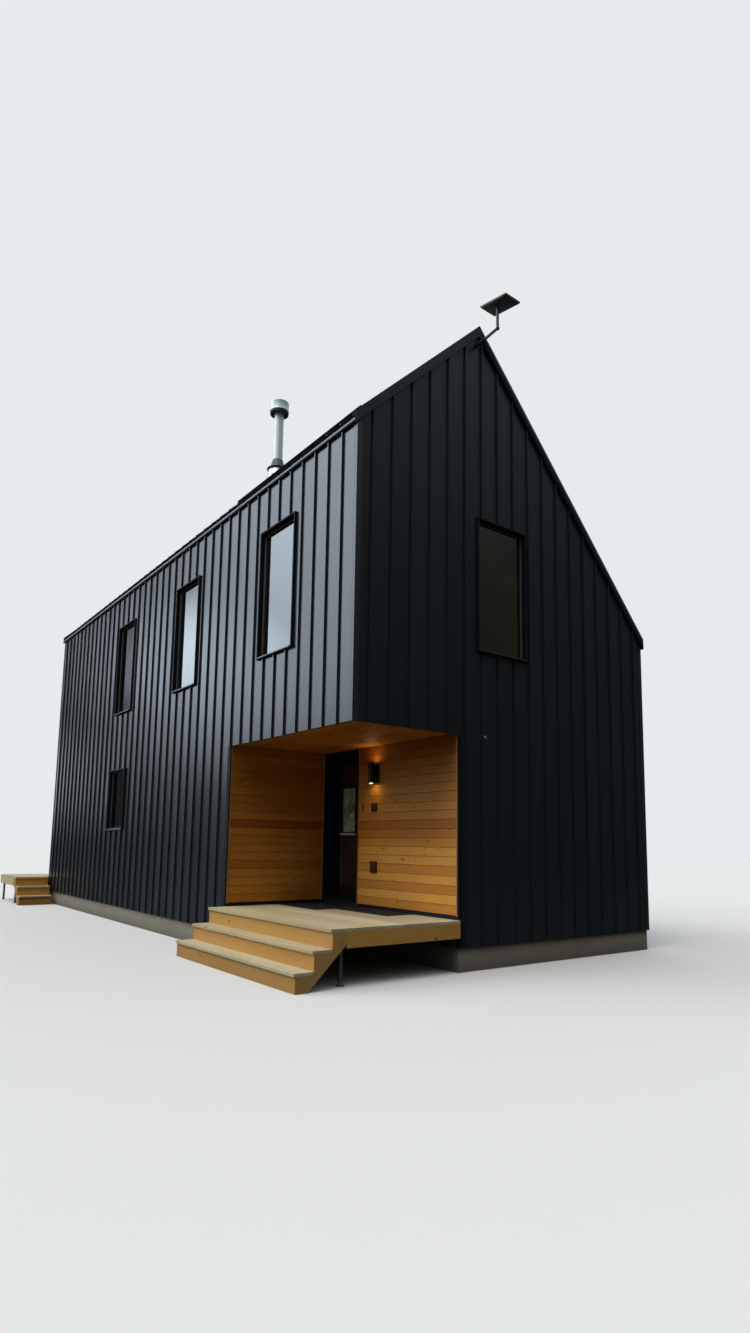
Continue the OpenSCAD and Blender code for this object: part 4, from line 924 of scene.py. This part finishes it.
for x, side in ((LEAF_X0, -1), (LEAF_X1, 1)):
    hub = facing((x, 2.233, 1.681), (side, 0, 0))
    levers.append(turned_part([(0, 0), (0.028, 0), (0.028, 0.006), (0.026, 0.008), (0.013, 0.008),
                               (0.010, 0.011), (0.010, 0.046), (0.011, 0.050), (0.011, 0.059),
                               (0.009, 0.061), (0, 0.061)], hub))
    lock = facing((x, 2.233, 1.826), (side, 0, 0))
    levers.append(turned_part([(0, 0), (0.027, 0), (0.027, 0.011), (0.024, 0.014), (0.012, 0.014),
                               (0.010, 0.0125), (0, 0.0125)], lock))
    ends = sorted((x + side * 0.050, x + side * 0.061))
    levers.append(box_part((ends[0], 2.233, 1.672), (ends[1], 2.348, 1.690), 0.005, 3))
joined_piece("door_levers", levers, lever_black, True, body="door", slot="black_fittings",
             stands_for=["door_handle"])

# Back door: two panels with mouldings and a pull
door_mid, back_face = 1.100, HOUSE_L - 0.040
panels = []
for z0, z1 in ((0.875, 1.595), (1.755, 2.655)):
    panels.append(mitred_part(lambda a, d, h: at(door_mid + a, back_face + d, z0 + h), 0.56, z1 - z0, [
        (0, -0.0005), (0, 0.007), (0.006, 0.012), (0.018, 0.010), (0.026, 0.003), (0.028, -0.0005)]))
    panels.append(box_part((door_mid - 0.200, back_face, z0 + 0.08),
                           (door_mid + 0.200, back_face + 0.006, z1 - 0.08), 0.0055, 2))
panels.append(turned_part([(0, 0), (0.028, 0), (0.028, 0.006), (0.026, 0.008), (0.012, 0.008),
                           (0.010, 0.012), (0.010, 0.022), (0.024, 0.030), (0.026, 0.038),
                           (0.020, 0.045), (0, 0.047)], facing((0.760, back_face, 1.680), (0, 1, 0))))
joined_piece("back_door_panels", panels, door_paint, slot="door_paint")

# Light on the porch side: an open tube with a lens in each end, an arm and a plate
light_x, light_y, light_low, light_h = PORCH_W - 0.098, 1.693, 2.380, 0.299
light_mid, plate_x = light_low + light_h / 2, PORCH_W - 0.020
tube = facing((light_x, light_y, light_low))
lamp = [turned_part([(0.0405, 0), (0.0450, 0), (0.046, 0.001), (0.046, light_h - 0.001),
                     (0.0450, light_h), (0.0405, light_h), (0.0405, light_h - 0.020),
                     (0.034, light_h - 0.030), (0.034, 0.030), (0.0405, 0.020)], tube, 48),
        box_part((light_x, light_y - 0.020, light_mid - 0.044),
                 (PORCH_W - 0.015, light_y + 0.020, light_mid + 0.044), 0.004, 2),
        box_part((plate_x, light_y - 0.068, light_mid - 0.134),
                 (PORCH_W, light_y + 0.068, light_mid + 0.134), 0.006, 3)]
lamp += [bolt_head(0.005, 0.004, facing((plate_x, y, light_mid), (-1, 0, 0)), 16, 0.0015)
         for y in (light_y - 0.045, light_y + 0.045)]
joined_piece("porch_light", lamp, fitting_black, True, slot="black_fittings", stands_for=["wall_light"])
joined_piece("porch_light_lenses", [
    turned_part([(0, z), (0.022, z + s * 0.001), (0.0402, z + s * 0.005), (0.0402, z + s * 0.010),
                 (0, z + s * 0.010)], tube) for z, s in ((0.0005, 1), (light_h - 0.0005, -1))],
    lamp_lens, True, slot="window_glass")

# Covers beside the door and the small round fitting on the gable
face_x = PORCH_W - 0.022
covers = [box_part((face_x + 0.004, 1.663, 1.989), (PORCH_W, 1.795, 2.106), 0.004, 2)]
covers += [box_part((face_x, 1.676 + s, 2.006), (face_x + 0.010, 1.720 + s, 2.089), 0.003, 2)
           for s in (0.0, 0.062)]
covers += [box_part((face_x - 0.002, 1.652, 1.127), (PORCH_W, 1.795, 1.290), 0.007, 3),
           box_part((face_x - 0.008, 1.660, 1.140), (face_x, 1.787, 1.280), 0.006, 3),
           turned_part([(0, 0), (0.005, 0), (0.005, 0.118), (0, 0.118)],
                       facing((face_x - 0.002, 1.6645, 1.284), (0, 1, 0)), 16),
           box_part((face_x - 0.010, 1.712, 1.127), (face_x - 0.002, 1.735, 1.141), 0.002, 2)]
covers += [box_part((face_x - 0.0095, y, 1.155), (face_x - 0.005, y + 0.0045, 1.262), 0.0018)
           for y in (1.674 + 0.0165 * k for k in range(7))]
joined_piece("wall_covers", covers, cover_brown, True, slot="black_fittings",
             stands_for=["wall_fittings"])
joined_piece("door_bell", [
    box_part((face_x + 0.004, y, 2.004), (PORCH_W, y + 0.010, 2.106), 0.003, 2)
    for y in (1.979, 2.010)], bell_red, True, slot="black_fittings")
joined_piece("door_bell_face", [
    box_part((face_x + 0.006, 1.988, 2.006), (PORCH_W, 2.011, 2.104), 0.002, 2),
    bolt_head(0.008, 0.005, facing((face_x + 0.006, 1.9995, 2.040), (-1, 0, 0)), 20)],
    bell_pale, True, slot="black_fittings")
joined_piece("gable_fitting", [turned_part([
    (0, 0), (0.025, 0), (0.025, 0.005), (0.0225, 0.008), (0.0220, 0.030), (0.0195, 0.034),
    (0.0150, 0.034), (0.0135, 0.029), (0, 0.031)], facing((2.082, 0, 2.911), (0, -1, 0)))],
    zinc, True, slot="black_fittings")

# Flue: plain pipe, drum cap on straps, boot with brim and storm collar
FLUE_X, FLUE_Y, PIPE_R, PIPE_WALL, PIPE_TOP = 1.438, 4.559, 0.083, 0.010, 9.4295
CAP_Z, BOOT_H = 9.317, 0.205
roof_z = EAVE_LEFT + FLUE_X * math.tan(left_pitch)
pipe_foot = roof_z - 0.38
stack, cap, boot, collar = (facing((FLUE_X, FLUE_Y, z)) for z in (0, CAP_Z, roof_z, roof_z + BOOT_H))
joined_piece("flue_stack", [turned_part(
    [(PIPE_R - PIPE_WALL, pipe_foot), (PIPE_R, pipe_foot), (PIPE_R, PIPE_TOP),
     (PIPE_R - PIPE_WALL, PIPE_TOP)], stack, 48)], steel, True, slot="stainless",
    stands_for=["flue_pipe"])
straps = [box_part((0.080, -0.010, 0.020), (0.166, 0.010, 0.024), 0.001, 1,
                   cap @ Matrix.Rotation(math.radians(45 + 90 * k), 4, "Z")) for k in range(4)]
joined_piece("flue_drum", [turned_part([
    (0.150, 0.044), (0.171, 0.044), (0.172, 0.047), (0.1705, 0.052), (0.1705, 0.196), (0.172, 0.201),
    (0.172, 0.208), (0.168, 0.216), (0.140, 0.222), (0, 0.225), (0, 0.213), (0.150, 0.190)], cap, 64)],
    steel, True, slot="stainless", stands_for=["flue_cap"])
joined_piece("flue_cap_inside", [
    turned_part([(0.160, 0.0), (0.166, 0.0), (0.168, 0.003), (0.165, 0.008), (0.165, 0.018),
                 (0.168, 0.022), (0.165, 0.026), (0.165, 0.045), (0.160, 0.045)], cap, 64),
    turned_part([(0.132, 0.012), (0.152, 0.006), (0.1535, 0.010), (0.134, 0.018)], cap, 48),
    turned_part([(0.104, 0.022), (0.124, 0.016), (0.1255, 0.020), (0.106, 0.028)], cap, 48)]
    + straps, cap_dark_metal, True, slot="stainless")
slope = Matrix.Translation(at(FLUE_X, FLUE_Y, roof_z)) @ Matrix.Rotation(-left_pitch, 4, "Y")
plate = [box_part((-0.3095, -0.2195, 0.0004), (0.3095, 0.2195, 0.005), 0.0015, 1, slope)]
plate += [box_part((-0.3095, y - 0.0065, 0.003), (0.3095, y + 0.0065, 0.011), 0.003, 2, slope)
          for y in (-0.213, 0.213)]
plate.append(turned_part([
    (0.181, -0.19), (0.202, -0.19), (0.1855, 0.0), (0.1795, 0.055), (0.1812, 0.058), (0.1812, 0.063),
    (0.1785, 0.066), (0.1640, 0.197), (0.160, 0.203), (0.156, 0.203)], boot, 64))
joined_piece("flue_boot", plate, aluminium, True, slot="flashing", stands_for=["flue_flashing"])
joined_piece("storm_collar", [turned_part([
    (0.0835, 0.001), (0.184, 0.0), (0.1895, 0.004), (0.190, 0.010), (0.186, 0.017), (0.178, 0.020),
    (0.152, 0.024), (0.145, 0.030), (0.134, 0.052), (0.119, 0.100), (0.105, 0.145), (0.096, 0.180),
    (0.090, 0.194), (0.0835, 0.195)], collar, 64)], boot_rubber, True, slot="flashing")
for i, x in enumerate((-0.285, 0.285)):
    screw = screw_unit((x, -0.17, 0.005), radius=0.007, height=0.004, turn=slope)
    repeated(f"flashing_screws_{i}", screw, dark_screw, 5, (0, 0.085, 0), slot="black_trim")

# Antenna: rounded shell with a ribbed back plate on its tilted mast, a clamp and a wall bracket
mast_x, mast_y, mast_top, PANEL_T = 2.275, -0.102, 9.045, 0.036
clamp_z, foot_x, foot_z = 8.985, 1.989, 8.370
tilt = math.radians(11)
panel_z = mast_top + PANEL_T / 2 / math.cos(tilt) + 0.020 * math.tan(tilt) + 0.0003
panel_turn = Matrix.Translation(at(mast_x + 0.050, mast_y, panel_z)) @ Matrix.Rotation(tilt, 4, "X")
joined_piece("antenna_shell", [
    box_part((-0.150, -0.250, -0.012), (0.150, 0.250, 0.018), 0.013, 4, panel_turn)],
    panel_shell, True, slot="panel_plastic", stands_for=["antenna_panel"])
joined_piece("antenna_back", [
    box_part((-0.138, -0.238, -0.018), (0.138, 0.238, -0.008), 0.004, 2, panel_turn)],
    panel_under, True, slot="panel_plastic")
joined_piece("antenna_rib", [
    box_part((x, -0.200, -0.0180), (x + 0.006, 0.200, -0.0170), 0.0004, 1, panel_turn)
    for x in (-0.136, -0.082, -0.028)], panel_shell, slot="panel_plastic")
clamps = [
    turned_part([(0.0195, 0), (0.0235, 0), (0.0245, 0.002), (0.0245, 0.020), (0.0235, 0.022),
                 (0.0195, 0.022)], facing((mast_x, mast_y, clamp_z)), 24),
    box_part((mast_x + 0.018, mast_y - 0.006, clamp_z + 0.003),
             (mast_x + 0.046, mast_y + 0.006, clamp_z + 0.019), 0.002, 2),
    turned_part([(0, 0), (0.006, 0), (0.006, 0.006), (0, 0.006)],
                facing((mast_x + 0.036, mast_y - 0.006, clamp_z + 0.011), (0, -1, 0)), 6),
    turned_part([(0, 0), (0.026, 0), (0.028, 0.003), (0.028, 0.018), (0.024, 0.023), (0, 0.023)],
                facing((foot_x, -0.105, foot_z), (0, -1, 0)), 24)]
clamps += [bolt_head(0.007, 0.007, facing((foot_x + dx, -0.006, foot_z + dz), (0, -1, 0)))
           for dx in (-0.028, 0.028) for dz in (-0.046, 0.046)]
joined_piece("mast_clamps", clamps, dark_screw, True, slot="galvanised")

# Corner hems, covers of the porch corners, screws of the trims, and the snow guard
head, leg, left_top, right_top, screw_pitch = PORCH_TOP - 0.015, 0.070, 6.490, 4.700, 0.45


def hem(x, y, side_x, side_y, z0, z1, along_y):
    """A rolled edge on the free end of a corner trim's leg."""
    rim = [(-0.0068, -0.0050), (-0.0075, -0.0010), (-0.0068, 0.0030), (-0.0045, 0.0050),
           (-0.0002, 0.0055), (-0.0002, -0.0060), (-0.0045, -0.0060)]
    if not along_y:
        rim = [(b, a) for a, b in rim]
    return carried_part([(x + side_x * a, y + side_y * b) for a, b in rim], 2, z0, z1)


hems = [hem(leg, 0, 1, 1, head, left_top, False), hem(PORCH_W + leg, 0, 1, 1, WALL_BASE, head, False),
        hem(0, PORCH_D + leg, 1, 1, WALL_BASE, head, True)]
for x, sx, y, sy, top in ((0, 1, HOUSE_L, -1, left_top), (HOUSE_W, -1, 0, 1, right_top),
                          (HOUSE_W, -1, HOUSE_L, -1, right_top)):
    hems += [hem(x, y + sy * leg, sx, sy, WALL_BASE, top, True),
             hem(x + sx * leg, y, sx, sy, WALL_BASE, top, False)]
joined_piece("corner_hems", hems, corner_steel, slot="black_trim")
# The corner bead's pale grey is painted highlight along the corner
joined_piece("corner_bead", [carried_part([
    (-0.0068, 0.006), (-0.0074, 0.001), (-0.0066, -0.0026), (-0.0045, -0.0044), (-0.0028, -0.0044),
    (-0.0028, 0.006)], 2, head, left_top)], bead_painted_highlight, slot="black_trim")
angle = [(-0.0036, 0.0402), (-0.0036, -0.0036), (0.0640, -0.0036), (0.0640, -0.0028),
         (-0.0028, -0.0028), (-0.0028, 0.0402)]
joined_piece("porch_corner_covers", [carried_part(outline, 2, WALL_BASE, head) for outline in (
    [(PORCH_W + a, b) for a, b in angle], [(b, PORCH_D + a) for a, b in angle])],
    frame_paint, slot="black_trim")
slopes = {}
for name, sign, edge_x, eave, pitch, width in (
        ("left", 1, -EAVE_OVER, EAVE_LEFT, left_pitch, RIDGE_X),
        ("right", -1, HOUSE_W + EAVE_OVER, EAVE_RIGHT, right_pitch, HOUSE_W - RIDGE_X)):
    turn = slopes[name] = Matrix.Translation(at(edge_x, 0, eave - EAVE_OVER * math.tan(pitch))) \
        @ Matrix.Rotation(-sign * pitch, 4, "Y")
    run = (width + EAVE_OVER) / math.cos(pitch)
    upward = tuple(turn.to_3x3() @ Vector((sign * screw_pitch, 0, 0)))
    for kind, place, axis, radius, height, count, step, rows, row_step in (
            ("rake", (sign * 0.12, 0.018, 0.038), (0, 0, 1), 0.006, 0.004,
             int((run - 0.3) / screw_pitch) + 1, upward, 2, (0, HOUSE_L - 0.036, 0)),
            ("ridge", (sign * (run - 0.145), 0.152, 0.038), (0, 0, 1), 0.006, 0.004,
             int(HOUSE_L / SEAM_PITCH), (0, SEAM_PITCH, 0), 1, (0, 0, 0)),
            ("rake_face", (sign * 0.22, -0.038, -0.030), (0, -1, 0), 0.005, 0.003,
             int((run - 0.4) / screw_pitch) + 1, upward, 1, (0, 0, 0))):
        repeated(f"{kind}_screws_{name}", screw_unit(place, axis, radius, height, turn), dark_screw,
                 count, step, rows, row_step, slot="black_trim")
guard_y0, guard_y1, guard_seams, slope = 0.080, 3.320, 10, slopes["left"]
bar = [box_part((0.210, guard_y0, SEAM_H + 0.0005), (0.240, guard_y1, SEAM_H + 0.030), 0.004, 2, slope)]
for y in (SIDE_SEAM + SEAM_PITCH * k for k in range(guard_seams)):
    for side in (-1, 1):
        ends = sorted((y + side * 0.0072, y + side * 0.020))
        bar += [box_part((0.202, ends[0], 0.006), (0.248, ends[1], SEAM_H + 0.004), 0.002, 1, slope),
                bolt_head(0.006, 0.006, slope @ Matrix.Translation((0.225, y + side * 0.0195, 0.018))
                          @ Matrix.Rotation(math.radians(-90 * side), 4, "X"))]
joined_piece("snow_guard_bar", bar, frame_paint, slot="black_trim", stands_for=["snow_guard"])

# Nodes kept from the frame as they are, with their finishes
for finish, names in (
        (long_steel, ["left_cladding", "right_cladding"]),
        (gable_steel, ["front_cladding", "back_cladding"]),
        (roof_steel, ["roof_metal_left", "roof_metal_right"]),
        (trim_steel, ["ridge_cap"]),
        (rake_steel, ["rake_trims"]),
        (eave_steel, ["eave_trims"]),
        (corner_steel, ["corner_trims"]),
        (frame_paint, ["door_frame"]),
        (lite_glass, ["door_glass"]),
        (door_paint, ["back_door"]),
        (concrete, ["foundation"]),
        (zinc, ["deck_posts"]),
        (dark_tube, ["antenna_mast"]),
        (membrane, ["porch_side_wall", "porch_back_wall", "porch_door_header"]),
        (floor_wood, ["ground_floor", "upper_floor"]),
        (plaster, ["left_wall", "right_wall", "front_wall", "back_wall", "roof_left", "roof_right"])):
    for name in names:
        materials = nodes[name].data.materials
        if not materials:
            materials.append(finish)
        for i in range(len(materials)):
            materials[i] = finish

# Floor, light and camera
FLOOR_REACH, FLOOR_Z = 150.0, -0.001
floor_mesh = bpy.data.meshes.new("floor")
floor_mesh.from_pydata([(x * FLOOR_REACH, y * FLOOR_REACH, FLOOR_Z)
                        for x, y in ((-1, -1), (1, -1), (1, 1), (-1, 1))], [], [(0, 1, 2, 3)])
floor = bpy.data.objects.new("floor", floor_mesh)
bpy.context.scene.collection.objects.link(floor)
ground = Finish("floor_grey", roughness=0.9, specular=0.1)
seen_by_camera = ground.out("ShaderNodeLightPath", key="Is Camera Ray")
ground.set(color=ground.blend(seen_by_camera, srgb(54, 52, 48), srgb(239, 230, 221)))
floor_mesh.materials.append(ground.material)

world = bpy.data.worlds.new("studio")
bpy.context.scene.world = world
world.use_nodes = True
world.node_tree.nodes.clear()
sky = Tree(world.node_tree)
sky_way = sky.out("ShaderNodeTexCoord", key="Generated")


def fields(*lobes):
    """Soft bright fields added up, each (direction, cosine at its edge, cosine of its core, peak)."""
    made = []
    for direction, low, high, peak in lobes:
        dot = sky.out("ShaderNodeVectorMath", {0: sky_way, 1: Vector(direction).normalized()}, "Value",
                      operation="DOT_PRODUCT")
        made.append(sky.span(dot, low, high, 0.0, peak))
    return sum(made[1:], made[0])


cool = fields(((-0.62, 0.62, 0.48), 0.87, 0.985, 2.45), ((-0.405, 0.893, 0.20), 0.990, 1.0, 1.7),
              ((-0.355, 0.905, 0.235), 0.996, 1.0, 0.75), ((-0.215, 0.973, 0.075), 0.997, 1.0, 1.6),
              ((-0.9, 0.15, 0.60), 0.50, 1.0, 0.45), ((0.0, 0.0, 1.0), 0.35, 0.95, 0.60),
              ((-0.5, 0.8, 0.1), -0.8, 0.9, 0.07), ((0.30, -0.45, 0.84), 0.7, 1.0, 0.14),
              ((0.78, 0.50, 0.38), 0.5, 1.0, 0.55))
warm = fields(((0.5, -0.8, 0.1), -0.9, 1.0, 0.02), ((0.45, -0.80, 0.35), 0.6, 1.0, 0.030)) + 0.016
both_fields = sky.blend(1.0, sky.blend(1.0, cool, (0.81, 0.95, 1.09, 1), "MULTIPLY"),
                        sky.blend(1.0, warm, (1.0, 1.0, 0.80, 1), "MULTIPLY"), "ADD")
backdrop = (0.80, 0.82, 0.84, 1)
lit, seen = (sky.out("ShaderNodeBackground", {"Color": color, "Strength": 1.0})
             for color in (both_fields, backdrop))
ray = sky.out("ShaderNodeLightPath", key="Is Camera Ray")
sky.node("ShaderNodeOutputWorld", {0: sky.out("ShaderNodeMixShader", {0: ray, 1: lit, 2: seen})})

sun_data = bpy.data.lights.new("soft_sun", "SUN")
sun_data.energy = 1.0
sun_data.angle = math.radians(40)
sun = bpy.data.objects.new("soft_sun", sun_data)
sun.rotation_euler = Vector((-0.47, -0.13, 0.87)).to_track_quat("Z", "Y").to_euler()
bpy.context.scene.collection.objects.link(sun)

EYE = (-4.72657, -6.72702, 1.52963)
YAW, PITCH, ROLL = -0.644247177, 0.128683519, 0.015369920
LENS, SHIFT_UP = 20.033, 0.0612
ahead = Vector((-math.sin(YAW) * math.cos(PITCH), math.cos(YAW) * math.cos(PITCH), math.sin(PITCH)))
right = Vector((math.cos(YAW), math.sin(YAW), 0))
up = right.cross(ahead)
cam_right = right * math.cos(ROLL) + up * math.sin(ROLL)
cam_up = up * math.cos(ROLL) - right * math.sin(ROLL)
camera_data = bpy.data.cameras.new("photo_view")
camera_data.sensor_width = 36.0
camera_data.lens = LENS
camera_data.shift_y = SHIFT_UP
camera_data.clip_end = 600.0
camera = bpy.data.objects.new("photo_view", camera_data)
camera.matrix_world = Matrix.Translation(at(*EYE)) @ Matrix((
    cam_right, cam_up, -ahead)).transposed().to_4x4()
bpy.context.scene.collection.objects.link(camera)
bpy.context.scene.camera = camera
bpy.context.scene.view_settings.view_transform = "Standard"
